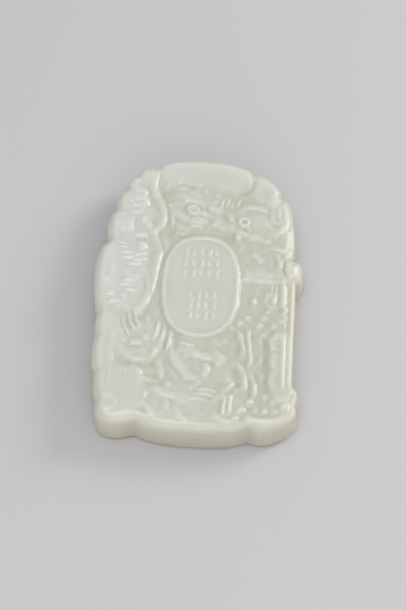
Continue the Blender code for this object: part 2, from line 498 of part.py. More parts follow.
def carve_lower_left(relief):
    """The sweep of cloud and the stepped rock in the lower left corner."""
    relief.strokes((-15.2, -9.0), (-15.1, -20.6), -0.2, 1.0, 0.16, gentle=2.4)
    relief.curve([(-14.9, -8.8), (-14.3, -11.6), (-12.9, -13.8), (-10.8, -15.0), (-8.2, -15.0)], 1.5, 0.4)
    relief.curve([(-14.2, -7.8), (-13.6, -10.0), (-12.8, -11.6)], 1.1, 0.34)
    relief.strokes((-12.0, -11.7), (-9.6, -11.6), 0.15, 1.0, 0.3)
    relief.curve([(-12.6, -12.8), (-10.6, -13.5), (-8.6, -13.2)], 1.3, 0.2)
    relief.swells(0.28, ((-9.2, -10.3, 1.2, 1.0), (-7.4, -13.4, 0.9, 1.4), (-4.6, -19.8, 1.2, 1.0),
                         (-8.5, -22.0, 0.8, 1.1)))
    relief.strokes((-14.2, -16.0), (-7.6, -15.9), -0.3, 1.5, -0.22)
    relief.curve([(-12.6, -16.3), (-10.6, -16.4), (-9.9, -17.6), (-9.8, -19.8)], 1.0, 0.2)
    relief.strokes((-9.6, -18.9), (-6.6, -19.5), 0.15, 1.0, 0.32)
    relief.curve([(-6.8, -14.6), (-6.2, -16.6), (-5.9, -18.8)], 1.3, 0.46)
    relief.curve([(-7.6, -20.4), (-5.4, -21.6), (-2.8, -22.4)], 1.3, 0.34)
    relief.curve([(-5.2, -22.8), (-4.6, -23.8), (-4.7, -25.2)], 1.1, 0.3)
    relief.curve([(-9.8, -23.4), (-8.2, -24.6), (-6.6, -26.5)], 1.3, 0.34)
    relief.curve([(-2.9, -24.4), (-2.2, -26.0), (-0.4, -27.3)], 1.2, 0.34)
    relief.strokes((-17.6, -17.6), (-17.5, -21.0), 0.0, 0.8, 0.16, count=4, step=(1.1, 0.0))
    relief.ring(oval(-15.4, -24.0, 1.5, 1.4), 1.0, 0.18)
    relief.strokes((-17.0, -26.8), (-14.8, -26.9), 0.0, 0.8, 0.18)


def carve_lower_middle(relief):
    """The coiled lower body under the cartouche: a snout, swirls, a leaf, feathers and a hind claw."""
    relief.swells(0.16, ((1.8, -17.0, 3.0, 2.6), (-1.4, -22.4, 3.2, 1.8), (-1.6, -12.4, 2.2, 1.8),
                         (4.0, -10.8, 2.0, 1.4)))
    relief.curve([(-4.5, -9.6), (-4.4, -12.6), (-3.8, -14.8), (-2.4, -16.6), (-0.6, -18.2), (0.8, -18.7)],
                 1.3, 0.46, melt=0.2)
    relief.curve([(-3.2, -12.8), (-3.0, -14.6), (-1.6, -16.4)], 0.9, 0.26)
    relief.strokes((-3.1, -9.8), (-0.6, -10.5), 0.1, 0.8, 0.32, count=2, step=(0.2, -1.25))
    relief.curve([(-1.6, -13.4), (0.6, -13.5), (2.6, -14.0), (4.0, -14.4)], 1.5, 0.4)
    relief.swell(0.2, -13.7, 1.4, 0.8, 0.26)
    relief.curve([(3.0, -12.6), (4.2, -13.4), (4.6, -14.6), (4.0, -16.0)], 1.4, 0.46)
    relief.curve([(4.8, -12.9), (5.5, -14.3), (5.2, -15.8)], 0.9, 0.24)
    relief.curve([(1.9, -14.9), (2.4, -16.4), (2.0, -18.0)], 1.1, 0.4)
    relief.curve([(-0.6, -20.8), (0.4, -19.9), (1.3, -18.8)], 1.1, 0.3)
    relief.curve([(0.3, -20.8), (2.4, -20.6), (4.6, -21.1)], 0.7, 0.34, gentle=1.3)
    relief.curve([(0.1, -21.7), (2.0, -21.5), (4.2, -22.0)], 0.7, 0.34, gentle=1.3)
    relief.curve([(-0.4, -22.7), (1.2, -22.5), (3.0, -23.1)], 0.7, 0.34, gentle=1.3)
    relief.strokes((3.8, -23.0), (6.0, -21.8), 0.15, 1.1, 0.34)
    relief.curve([(5.4, -17.6), (6.5, -18.9), (6.6, -19.6), (5.6, -21.2)], 1.5, 0.56)
    relief.swell(7.7, -20.2, 1.0, 0.9, 0.26)
    relief.strokes((6.0, -21.9), (5.6, -25.7), -0.1, 0.9, 0.6, gentle=1.3)
    relief.strokes((7.0, -21.4), (6.7, -25.2), -0.1, 0.9, 0.6, gentle=1.3)
    relief.curve([(4.0, -25.2), (5.1, -26.4), (7.4, -27.3)], 1.2, 0.4)


def carved_height(x, y):
    """The height of the whole carving over the face, in millimetres, at places on the sheet."""
    relief = Relief(x, y, ground=-RELIEF_DEPTH / MM)
    for carve in (lay_masses, carve_top, carve_left_clouds, carve_lower_left, carve_lower_middle,
                  carve_long_body, carve_left_head, carve_right_head, carve_cartouche, carve_right_clouds,
                  carve_ribbons, carve_right_side):
        carve(relief)
    relief.uneven(LUMP_HEIGHT)
    return relief.worn_to_face()


def quarter_round(inset, reach, depth):
    """The drop of an edge that starts to round at this reach and has fallen by its depth at the outline."""
    return depth * (1 - np.sqrt(1 - np.clip(1 - inset / reach, 0, 1) ** 2))


def rolled_edge(x, y, inset):
    """How far, in millimetres, the face has rolled down at a distance in from the outline."""
    rolled = quarter_round(inset, FACE_ROUND_IN / MM, FACE_ROUND_DOWN / MM)
    bevelled = COLUMN_TILT * np.clip(COLUMN_WIDTH - inset, 0, None)
    bevelled += quarter_round(inset, COLUMN_EDGE, COLUMN_EDGE)
    low, high = COLUMN_ENDS
    on_column = eased(x - COLUMN_FROM) * eased((y - low) / COLUMN_FADE) * eased((high - y) / COLUMN_FADE)
    return rolled + (bevelled - rolled) * on_column


def face_places(outline, spacing):
    """The outline, rings just inside it where the face rolls over, and an even grid in the middle."""
    inward = inward_of(outline)
    low, high = outline.min(0), outline.max(0)
    roll = FACE_ROUND_IN / MM
    rings = []
    count = max(2, round(roll * math.pi / 2 / spacing))
    for number in range(1, count + 1):
        inset = roll * (1 - math.cos(number / count * math.pi / 2))
        ring = outline + inward * inset
        distance, _, _ = nearest(outline, ring[:, 0], ring[:, 1], closed=True)
        rings.append(ring[distance > inset * 0.97])
    x, y = (values.ravel() for values in np.meshgrid(np.arange(low[0], high[0], spacing),
                                                     np.arange(low[1], high[1], spacing)))
    distance, _, _ = nearest(outline, x, y, closed=True)
    middle = is_inside(outline, x, y) & (distance > roll + spacing / 2)
    return np.concatenate([outline, *rings, np.stack([x[middle], y[middle]], 1)])


def side_profile(steps):
    """(inset, height) down the side: the leaning wall, its widest line and the round to the back."""
    top = THICKNESS - FACE_ROUND_DOWN
    rows = []
    for number in range(1, steps + 1):
        share = number / steps
        rows.append((WALL_LEAN * (1 - math.sin(share * math.pi / 2)), top + (WIDEST_HEIGHT - top) * share))
    for number in range(1, steps + 1):
        angle = number / steps * math.pi / 2
        rows.append((BACK_ROUND_IN * (1 - math.cos(angle)), WIDEST_HEIGHT * (1 - math.sin(angle))))
    return rows


def laid_on_tablet(places, outline):
    """Places on the drawing sheet, moved to the middle and stretched to the tablet's width and length."""
    low, high = outline.min(0), outline.max(0)
    return (places - (high + low) / 2) * np.array((WIDTH, LENGTH)) / (high - low)


def carved_mesh(spacing):
    """The whole surface, finely divided: carved face, side and flat back."""
    outline = lobed_outline(spacing)
    inward = inward_of(outline)
    corners = [Vector(place) for place in face_places(outline, spacing)]
    loop = [(number, (number + 1) % len(outline)) for number in range(len(outline))]
    points, _, faces, _, _, _ = delaunay_2d_cdt(corners, loop, [], 1, 1e-6)
    sheet = np.array([tuple(point) for point in points])
    distance, share, _ = nearest(outline, sheet[:, 0], sheet[:, 1], closed=True)
    height = THICKNESS + carved_height(sheet[:, 0], sheet[:, 1]) * MM * eased(distance / EDGE_BARE)
    height -= rolled_edge(sheet[:, 0], sheet[:, 1], distance) * MM
    leant = drawn_in(outline, inward, distance, share, WALL_LEAN / MM, LEAN_REACH)
    place = laid_on_tablet(sheet + leant, outline)

    mesh = bmesh.new()
    at_rim = mesh.verts.layers.int.new("outline point")
    for number, ((x, y), z) in enumerate(zip(place, height)):
        vert = mesh.verts.new((x, y, z))
        vert[at_rim] = number
    mesh.verts.ensure_lookup_table()
    for face in faces:
        mesh.faces.new([mesh.verts[index] for index in face])
    rim = [edge for edge in mesh.edges if edge.is_boundary]
    for inset, z in side_profile(SIDE_STEPS):
        ring = laid_on_tablet(outline + inward * (inset / MM), outline)
        grown = bmesh.ops.extrude_edge_only(mesh, edges=rim)["geom"]
        rim = [item for item in grown if isinstance(item, bmesh.types.BMEdge) and item.is_boundary]
        for vert in {vert for edge in rim for vert in edge.verts}:
            vert.co = (*ring[vert[at_rim]], z)
    bmesh.ops.contextual_create(mesh, geom=rim)
    bmesh.ops.recalc_face_normals(mesh, faces=mesh.faces)
    return mesh


def thinned(item, most):
    """The object's mesh with flat places merged until it has at most this many triangles."""
    item.data.calc_loop_triangles()
    thin = item.modifiers.new("Thin out", "DECIMATE")
    thin.ratio = most / len(item.data.loop_triangles)
    thin.use_collapse_triangulate = True
    bpy.context.view_layer.update()
    result = bpy.data.meshes.new_from_object(item.evaluated_get(bpy.context.evaluated_depsgraph_get()))
    item.modifiers.remove(thin)
    return result


def tablet(name):
    """The carved tablet as one solid of flat triangles, lying on its flat back."""
    mesh = carved_mesh(FINE_SPACING / MM)
    data = bpy.data.meshes.new(name)
    mesh.to_mesh(data)
    mesh.free()
    item = bpy.data.objects.new(name, data)
    bpy.context.collection.objects.link(item)
    item.data = thinned(item, SOLID_TRIANGLES)
    item.data.name = name
    co = np.array([tuple(vert.co) for vert in item.data.vertices])
    # merging draws the surface in by a hair, so it is put back on its full size and its flat back
    co[co[:, 2] < FLAT_BACK_SNAP, 2] = 0.0
    low, high = co.min(0), co.max(0)
    co = (co - (high + low) / 2) * np.array((WIDTH, LENGTH, THICKNESS)) / (high - low)
    co[:, 2] += THICKNESS / 2
    item.data.vertices.foreach_set("co", co.ravel())
    item.data.shade_smooth()
    return item


def jade():
    """Pale nephrite: creamy, a little grey-green, glossy, with light passing into it."""
    stone = bpy.data.materials.new("pale_jade")
    stone.use_nodes = True
    shader = stone.node_tree.nodes["Principled BSDF"]
    shader.inputs["Base Color"].default_value = STONE_COLOUR
    shader.inputs["Roughness"].default_value = STONE_ROUGHNESS
    shader.inputs["Metallic"].default_value = 0.0
    shader.inputs["Subsurface Weight"].default_value = STONE_TRANSLUCENCY
    shader.inputs["Subsurface Scale"].default_value = STONE_LIGHT_DEPTH
    return stone


for old in list(bpy.data.objects):
    bpy.data.objects.remove(old)
plaque = tablet("jade_plaque")
plaque.data.materials.append(jade())
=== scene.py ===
# %% [markdown]
# # A carved jade pendant
# The object is one piece of pale jade: a thick tablet the size of a matchbox, with a cloud-lobed outline
# and a face carved in low relief. Its plain solid, with the true size and place, comes from the frame.
# This lesson dresses it: a finely carved surface takes the solid's place and gets a translucent stone.

# %% Load the frame
import math

import bmesh
import bpy
import numpy as np
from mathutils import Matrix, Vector
from mathutils.geometry import delaunay_2d_cdt


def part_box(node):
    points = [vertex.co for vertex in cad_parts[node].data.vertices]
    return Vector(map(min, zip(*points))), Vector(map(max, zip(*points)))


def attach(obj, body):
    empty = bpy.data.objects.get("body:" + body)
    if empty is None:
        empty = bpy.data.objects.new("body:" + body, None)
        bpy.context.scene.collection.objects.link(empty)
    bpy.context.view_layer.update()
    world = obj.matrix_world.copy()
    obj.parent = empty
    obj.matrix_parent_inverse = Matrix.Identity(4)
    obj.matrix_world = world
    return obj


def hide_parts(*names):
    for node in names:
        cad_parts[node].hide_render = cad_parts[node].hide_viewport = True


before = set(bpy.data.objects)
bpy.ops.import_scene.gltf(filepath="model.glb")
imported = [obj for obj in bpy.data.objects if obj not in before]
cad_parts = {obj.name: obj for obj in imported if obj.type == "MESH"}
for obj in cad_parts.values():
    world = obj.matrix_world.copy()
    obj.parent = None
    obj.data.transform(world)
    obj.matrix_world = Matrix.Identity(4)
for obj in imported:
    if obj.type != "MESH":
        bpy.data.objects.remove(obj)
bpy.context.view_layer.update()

MM = 0.001
low, high = (np.array(corner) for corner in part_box("jade_plaque"))
WIDTH, LENGTH, THICKNESS = high - low


def set_inputs(node, values):
    """Sets the named inputs of a shader node."""
    for name, value in values.items():
        node.inputs[name].default_value = value


print("The stone is", [round(side / MM, 1) for side in (WIDTH, LENGTH, THICKNESS)], "mm")

# %% [markdown]
# ## The camera
# The pendant lies on its back and the camera looks down on it steeply, a little from the right. A long
# lens far away keeps its sides nearly parallel, as small things look in a product photograph. The camera
# is aimed by building its axes: one points back from the subject, one is level, and the third follows.

# %% Camera at the photograph's angle
LENS_MM, SENSOR_MM = 120.0, 36.0
LOOK_DOWN, LOOK_ROUND = math.radians(63.0), math.radians(2.9)
CAMERA_DISTANCE, NEAREST_SEEN = 391.0 * MM, 10.0 * MM
SUBJECT = Vector((1.17, -1.16, 4.5)) * MM


def add_camera():
    lens = bpy.data.cameras.new("camera")
    lens.lens, lens.sensor_width = LENS_MM, SENSOR_MM
    lens.clip_start = NEAREST_SEEN
    camera = bpy.data.objects.new("camera", lens)
    bpy.context.collection.objects.link(camera)
    flat = math.cos(LOOK_DOWN)
    back = Vector((math.sin(LOOK_ROUND) * flat, -math.cos(LOOK_ROUND) * flat, math.sin(LOOK_DOWN)))
    camera.location = SUBJECT + back * CAMERA_DISTANCE
    camera.rotation_euler = back.to_track_quat("Z", "Y").to_euler()
    return camera


bpy.context.scene.camera = add_camera()
print("Camera at", [round(value, 3) for value in bpy.context.scene.camera.location])

# %% [markdown]
# ## Floor and light
# Polished jade is lit best by one broad soft light from above and beside it, which draws a thin gleam
# along every ridge that faces it, and by even light all round, which glows through the stone. Three area
# lights and a plain world do this: the key at the right, a weaker one overhead, and one in front that
# opens up the side wall. Area lights are used, not points, because their size sets how soft the gleams
# are. The view is set to Standard, so that the whites stay the whites that were chosen.

# %% A plain pale floor
FLOOR_SIDE = 6.0
FLOOR_COLOUR, FLOOR_ROUGHNESS = (0.56, 0.56, 0.57, 1.0), 0.9


def add_floor():
    mesh = bmesh.new()
    bmesh.ops.create_grid(mesh, x_segments=1, y_segments=1, size=FLOOR_SIDE / 2)
    data = bpy.data.meshes.new("floor")
    mesh.to_mesh(data)
    mesh.free()
    floor = bpy.data.objects.new("floor", data)
    bpy.context.collection.objects.link(floor)
    paper = bpy.data.materials.new("pale_paper")
    paper.use_nodes = True
    shader = paper.node_tree.nodes["Principled BSDF"]
    set_inputs(shader, {"Base Color": FLOOR_COLOUR, "Roughness": FLOOR_ROUGHNESS})
    data.materials.append(paper)
    return floor


print("Floor:", add_floor().name)

# %% Soft studio light
WHITE, WORLD_STRENGTH = (1.0, 1.0, 1.0, 1.0), 0.56
# each light: name, place and side in metres, watts, colour
LIGHTS = (
    ("key", (0.42, 0.22, 0.30), 0.22, 1.2, (1.0, 0.99, 0.97)),
    ("top", (-0.05, -0.10, 0.60), 0.24, 0.7, (0.97, 0.98, 1.0)),
    ("front", (0.03, -0.45, 0.22), 0.5, 0.8, (1.0, 0.98, 0.95)),
)


def add_light(name, place, side, watts, colour):
    light = bpy.data.lights.new(name, "AREA")
    light.shape, light.size = "SQUARE", side
    light.energy, light.color = watts, colour
    item = bpy.data.objects.new(name, light)
    item.location = place
    item.rotation_euler = Vector(place).to_track_quat("Z", "Y").to_euler()
    bpy.context.collection.objects.link(item)
    return item


world = bpy.data.worlds.new("studio")
world.use_nodes = True
set_inputs(world.node_tree.nodes["Background"], {"Color": WHITE, "Strength": WORLD_STRENGTH})
bpy.context.scene.world = world
bpy.context.scene.view_settings.view_transform = "Standard"
for lamp in LIGHTS:
    add_light(*lamp)

# %% [markdown]
# ## The outline
# Seen from above, the stone's edge is a chain of lobes, like the edge of a cloud, that meet in small
# sharp notches. Each lobe could be traced with many points, but a lobe is only a bowed curve from one
# notch to the next, so a few numbers say it: where it starts, how far it bows out, how full its ends are
# and which way it leans. All drawing is done on a sheet of millimetre squares, laid on the stone later.

# %% Curves to draw with
def bowed(start, end, bow, fullness=1.0, lean=1.0, steps=24):
    """Points on a curve from start to end that bows out to its left. Fullness 2 is half an ellipse."""
    share = (1 - np.cos(np.linspace(0, math.pi, steps + 1))) / 2
    leant = share**lean
    out = bow * np.clip(4 * leant * (1 - leant), 0, 1) ** (1 / fullness)
    start, end = np.array(start, float), np.array(end, float)
    along = end - start
    left = np.array((-along[1], along[0])) / np.hypot(*along)
    return start + share[:, None] * along + out[:, None] * left


def evenly(route, spacing, closed=False):
    """The route again, with its points an even step apart."""
    if closed:
        route = np.concatenate([route, route[:1]])
    run = np.concatenate([[0], np.cumsum(np.hypot(*np.diff(route, axis=0).T))])
    count = max(2, round(run[-1] / spacing))
    at = np.linspace(0, run[-1], count + 1)[: count if closed else None]
    return np.stack([np.interp(at, run, route[:, 0]), np.interp(at, run, route[:, 1])], 1)


def flowing(points, steps=8):
    """A smooth curve through a few points."""
    p = np.array(points, float)
    p = np.concatenate([2 * p[:1] - p[1:2], p, 2 * p[-1:] - p[-2:-1]])
    t = np.linspace(0, 1, steps, endpoint=False)[:, None]
    spans = []
    for a, b, c, d in zip(p[:-3], p[1:-2], p[2:-1], p[3:]):
        spans.append(b + t * (c - a) / 2 + t**2 * (a - 2.5 * b + 2 * c - d / 2)
                     + t**3 * (1.5 * (b - c) + (d - a) / 2))
    return np.concatenate([*spans, p[-2:-1]])


def oval(x, y, half_x, half_y, power=2.0, turn=0.0, steps=72):
    """A closed loop: an ellipse, or with a higher power one with flatter sides."""
    angle = np.linspace(0, 2 * math.pi, steps, endpoint=False)
    across = half_x * np.sign(np.cos(angle)) * np.abs(np.cos(angle)) ** (2 / power)
    up = half_y * np.sign(np.sin(angle)) * np.abs(np.sin(angle)) ** (2 / power)
    c, s = math.cos(math.radians(turn)), math.sin(math.radians(turn))
    return np.stack([x + c * across - s * up, y + s * across + c * up], 1)


def inward_of(outline):
    """The direction into the stone at each point of the outline, which runs clockwise."""
    edge = np.roll(outline, -1, axis=0) - np.roll(outline, 1, axis=0)
    return np.stack([edge[:, 1], -edge[:, 0]], 1) / np.hypot(*edge.T)[:, None]


def eased(value):
    """0 to 1 with soft ends."""
    value = np.clip(value, 0, 1)
    return value * value * (3 - 2 * value)


print("A bowed curve of 2 mm:", bowed((0, 0), (2, 0), 0.5, steps=4).round(2).tolist())

# %% The lobes of the outline
NOTCH_REACH, NOTCH_WEAR = 1.2, 0.12
BASE_NOTCH_REACH, BASE_NOTCH_WEAR = 3.6, 1.6
BASE_TOP = -25.0
LOBE_STEPS = 48
# each lobe: the x and y of its first notch, how far it bows out, its fullness, its lean
LOBES = (
    (-9.3, 27.0, 2.65, 2.0, 1.0),
    (9.6, 26.3, 1.65, 2.0, 1.0),
    (15.0, 21.2, 1.7, 1.3, 0.55),
    (17.6, 7.7, 1.65, 2.0, 0.75),
    (18.3, 2.6, 0.0, 1.0, 1.0),
    (18.2, -18.8, 0.85, 1.0, 0.75),
    (18.9, -22.6, 2.9, 2.0, 0.9),
    (10.1, -27.3, 2.15, 2.5, 1.0),
    (-10.1, -26.9, 3.15, 1.8, 1.35),
    (-17.75, -23.5, 0.4, 2.0, 1.0),
    (-18.45, -17.9, 0.75, 1.6, 1.0),
    (-18.7, -10.0, 0.4, 2.0, 1.0),
    (-18.8, -5.7, 1.8, 2.0, 1.6),
    (-17.75, 10.2, 0.9, 2.0, 1.3),
    (-16.8, 17.1, 0.8, 2.0, 1.3),
    (-15.2, 21.8, 0.75, 2.0, 1.0),
    (-13.1, 25.2, 0.95, 2.0, 1.0),
)


def lobed_outline(spacing):
    """The outline of the tablet on the drawing sheet, with the notches between its lobes worn round."""
    pieces = []
    for lobe, following in zip(LOBES, LOBES[1:] + LOBES[:1]):
        curve = bowed(lobe[:2], following[:2], *lobe[2:], steps=LOBE_STEPS)
        pieces.append(evenly(curve, spacing)[:-1])
    outline = np.concatenate(pieces)
    wear = np.zeros(len(outline))
    for lobe in LOBES:
        at_base = lobe[1] < BASE_TOP
        reach = BASE_NOTCH_REACH if at_base else NOTCH_REACH
        most = 1.0 if at_base else NOTCH_WEAR / BASE_NOTCH_WEAR
        wear = np.maximum(wear, most * eased(1 - np.hypot(*(outline - lobe[:2]).T) / reach))
    for _ in range(round(BASE_NOTCH_WEAR / spacing**2)):
        middle = (np.roll(outline, 1, axis=0) + np.roll(outline, -1, axis=0)) / 2
        outline = outline + (middle - outline) * wear[:, None]
    return outline


print(len(LOBES), "lobes,", len(lobed_outline(1.0)), "mm round")

# %% [markdown]
# ## Measuring on the drawing sheet
# The carving is made as a sculptor's depth map: for every place on the face, how deep is the stone cut?
# To answer that, each place must know how far it is from a drawn curve and whether it lies inside a
# closed one. Numpy answers for all places at once, which a loop over vertices could not do in time.

# %% Distance to a curve
GENTLE_SIDE = (-0.8, 0.6)
TINY = 1e-12


def nearest(route, x, y, closed=False):
    """For each place: its distance to the route, how far along the route that is, from 0 to 1, and how
    squarely it lies on the route's gentle side, from 1 there to -1 on the other."""
    ends = np.roll(route, -1, axis=0) if closed else route[1:]
    starts = route if closed else route[:-1]
    best = np.full(x.shape, np.inf)
    share = np.zeros(x.shape)
    side = np.zeros(x.shape)
    for number, (a, b) in enumerate(zip(starts, ends)):
        along = b - a
        t = ((x - a[0]) * along[0] + (y - a[1]) * along[1]) / max(along @ along, TINY)
        t = np.clip(t, 0, 1)
        dx, dy = x - a[0] - t * along[0], y - a[1] - t * along[1]
        d = np.hypot(dx, dy)
        closer = d < best
        best[closer] = d[closer]
        share[closer] = (number + t[closer]) / len(starts)
        side[closer] = ((dx * GENTLE_SIDE[0] + dy * GENTLE_SIDE[1]) / np.maximum(d, TINY))[closer]
    return best, share, side


print("Far from a line:", nearest(np.array([(0.0, 0.0), (1.0, 0.0)]), np.array([0.5]), np.array([2.0]))[0])

# %% Inside a closed curve
def is_inside(loop, x, y):
    """True for each place inside the closed loop."""
    found = np.zeros(x.shape, bool)
    for a, b in zip(loop, np.roll(loop, -1, axis=0)):
        if a[1] == b[1]:
            continue
        level = (a[1] > y) != (b[1] > y)
        found ^= level & (x < a[0] + (y - a[1]) * (b[0] - a[0]) / (b[1] - a[1]))
    return found


print("Middle inside:", bool(is_inside(oval(0, 0, 1, 1), np.zeros(1), np.zeros(1))[0]))

# %% [markdown]
# ## The carver's tools
# Low relief in jade is ground out with small wheels. Two moves make nearly all of it: an area is taken
# down to a level with a soft slope round it, and a ridge or a groove is drawn along a line. A wheel held
# at a slant leaves a ridge gentler on one side and lets its ends melt into the ground, so the tools do
# the same. The class below holds the depth of the whole face and has one method for each move. Sculpting
# by hand would need a mouse, and image maps are not wanted here, so the moves are written down one by one.
# Each area's moves are first tried on a flat sheet, to see how deep they go.

# %% Levels, ridges and grooves
RELIEF_DEPTH = 0.7
CUT_SPREAD, CUT_HEIGHT, CUT_BESIDE, CUT_END = 1.35, 0.6, 0.3, 0.06
LUMP_TURNS, LUMP_TOP, LUMP_FADE = (1.9, 1.3, 1.1, 1.6, 1.2, 1.3), -0.2, 0.25
TOP_CRISPNESS = 7.0


class Relief:
    """The height of the carving at many places of the sheet, in millimetres over the face."""

    def __init__(self, x, y, ground):
        self.x, self.y = x, y
        self.z = np.full(x.shape, ground)

    def near(self, loop, reach):
        """True for each place within reach of the box round a curve."""
        low, high = loop.min(0) - reach, loop.max(0) + reach
        return (self.x > low[0]) & (self.x < high[0]) & (self.y > low[1]) & (self.y < high[1])

    def level(self, loop, height, slope=2.0, dome=0.0, size=2.0):
        """Brings the area inside the loop to a height, with a soft slope round its edge."""
        near = self.near(loop, slope)
        x, y = self.x[near], self.y[near]
        distance, _, _ = nearest(loop, x, y, closed=True)
        signed = np.where(is_inside(loop, x, y), distance, -distance)
        mix = eased(signed / slope + 0.5)
        crown = dome * eased(signed / size)
        self.z[near] += (height + crown - self.z[near]) * mix

    def swell(self, x, y, half_x, half_y, height, turn=0.0):
        """Adds a soft round swelling, or a hollow where the height is negative."""
        c, s = math.cos(math.radians(turn)), math.sin(math.radians(turn))
        across = (c * (self.x - x) + s * (self.y - y)) / half_x
        up = (c * (self.y - y) - s * (self.x - x)) / half_y
        self.z += height * (1 - eased(np.hypot(across, up)))

    def swells(self, height, places):
        """Several swellings of one height, each given as (x, y, half width, half length)."""
        for place in places:
            self.swell(*place, height)

    def stroke(self, route, width, height, gentle=1.8, melt=0.3, taper=0.0):
        """Adds a rounded ridge along the route, or a groove where the height is negative, with a faint
        hollow or ridge beside it. Its upper left side is gentler, and its ends melt into the ground."""
        near = self.near(route, width * CUT_SPREAD * gentle)
        distance, share, side = nearest(route, self.x[near], self.y[near])
        half = width * CUT_SPREAD / 2 * (1 + (gentle - 1) * (1 + side) / 2) * (1 - taper * share)
        ridge = np.cos(np.clip(distance / half, 0, 1) * math.pi) / 2 + 0.5
        beside = np.cos(np.clip(distance / half / 2, 0, 1) * math.pi) / 2 + 0.5
        shape = (ridge - CUT_BESIDE * beside) / (1 - CUT_BESIDE)
        if melt:
            shape *= eased((np.minimum(share, 1 - share) + CUT_END) / melt)
        self.z[near] += height * CUT_HEIGHT * shape

    def strokes(self, start, end, bow, width, height, count=1, step=(0, 0), **kind):
        """The same bowed stroke several times, each a step from the last."""
        for number in range(count):
            shift = number * np.array(step, float)
            self.stroke(bowed(start + shift, end + shift, bow, steps=10), width, height, **kind)

    def curve(self, places, width, height, **kind):
        """One stroke that flows through a few places."""
        self.stroke(flowing(places), width, height, **kind)

    def ring(self, loop, width, height, gentle=1.2):
        """A raised line all along a closed loop."""
        self.stroke(np.concatenate([loop, loop[:1]]), width, height, gentle, melt=0)

    def uneven(self, height):
        """Adds the soft waves that the wheel leaves on the lower ground and not on the high forms."""
        wave = LUMP_TURNS
        waves = (np.sin(wave[0] * self.x + wave[1] * np.sin(wave[2] * self.y))
                 * np.sin(wave[3] * self.y + wave[4] * np.sin(wave[5] * self.x)))
        self.z += height * waves * eased((LUMP_TOP - self.z) / LUMP_FADE)

    def worn_to_face(self):
        """The heights, with the highest forms worn round: the stone was a slab, so none stands above it."""
        return -np.log1p(np.exp(-self.z * TOP_CRISPNESS)) / TOP_CRISPNESS


print("Ground:", -RELIEF_DEPTH, "mm from the face")

# %% Try an area on a flat sheet
TRIAL_SHEET = np.meshgrid(np.arange(-20.0, 20.0, 0.5), np.arange(-30.0, 30.0, 0.5))


def try_out(carve):
    """Prints the lowest and the highest place that one area's moves leave."""
    trial = Relief(*TRIAL_SHEET, ground=-RELIEF_DEPTH)
    carve(trial)
    print(carve.__name__, trial.z.min().round(2), "to", trial.z.max().round(2), "mm")


# %% [markdown]
# ## The broad masses
# A carver first takes the ground down and leaves each mass standing at its own height, with soft slopes
# between them. Only then are details cut into the masses. The code keeps that order, because a level
# wipes out whatever was drawn inside it before.

# %% Masses
def lay_masses(face):
    """Each mass brought to its own height."""
    # the two banks of cloud down the left edge
    face.level(flowing([(-21, 29), (-10.0, 28), (-9.4, 20), (-8.6, 15), (-9.4, 10), (-9.6, 5), (-10.2, 0),
                        (-11.2, -4.4), (-15, -5.0), (-21, -5)]), -0.26, 3.6)
    face.level(flowing([(-21, -4.6), (-15.6, -5.4), (-13.9, -9.0), (-14.0, -16.0), (-13.4, -20.5),
                        (-12.2, -23.0), (-10.5, -24.6), (-10.0, -30), (-21, -30)]), -0.24, 3.2)
    # the cap along the top and the two lobes at its right
    face.level(oval(0.2, 26.6, 9.6, 4.9, power=3), -0.14, 3.4)
    face.level(oval(12.0, 22.4, 3.4, 3.6, power=2.4), -0.26, 2.4)
    face.level(oval(15.2, 16.8, 2.6, 4.2, turn=8), -0.3, 2.6)
    # the two heads, the coil under the panel, the haunch beside it and the stepped rock
    face.level(oval(-1.2, 18.0, 5.6, 5.2), -0.38, 3.6)
    face.level(oval(9.4, 15.4, 4.8, 3.6), -0.4, 3.2)
    face.level(oval(0.6, -15.6, 5.4, 6.2), -0.42, 3.4)
    face.level(oval(-10.0, -11.2, 4.4, 4.2), -0.4, 3.0)
    face.level(oval(-0.5, -23.4, 9.5, 4.0, power=2.6), -0.36, 3.0)
    face.level(oval(-12.2, -20.4, 3.2, 4.4, power=3), -0.2, 2.6)
    # the lobed cloud beside the column, the beam with its knob, and the column's outer face
    face.level(oval(15.9, -15.2, 2.5, 7.2, power=3), -0.26, 2.0)
    face.level(np.array([(8.0, 2.4), (18.6, 2.0), (18.6, 5.0), (8.2, 5.4)]), -0.42, 2.2)
    face.level(oval(18.0, 5.3, 2.2, 2.4), -0.14, 1.2)
    face.level(np.array([(17.75, 2.4), (19.8, 2.4), (19.8, -20.6), (17.65, -20.6)]), -0.02, 0.6)
    # the steps of the base
    face.level(flowing([(-10.6, -25.6), (-7.8, -26.4), (-6.4, -27.2), (9.0, -27.4), (10.3, -26.0),
                        (10.4, -31.0), (-10.6, -31.0)]), -0.16, 3.0)
    face.level(flowing([(9.8, -26.0), (15.6, -26.0), (18.0, -25.0), (19.0, -22.6), (21.0, -22.0),
                        (21.0, -31.0), (9.8, -31.0)]), -0.12, 1.4)
    # the deepest ground: beside the right clouds, right of the panel and between the heads
    face.swells(-0.16, ((12.5, -13.5, 1.9, 7.5), (9.6, -0.6, 1.6, 3.4), (4.9, 11.4, 2.4, 1.6),
                        (-5.9, 12.2, 1.3, 2.8)))


try_out(lay_masses)

# %% [markdown]
# ## The carving, area by area
# The top of the tablet is a smooth cap, with two plain lobes at its right. The left edge is a bank of
# cloud billows, with tufts of hair combed across it.

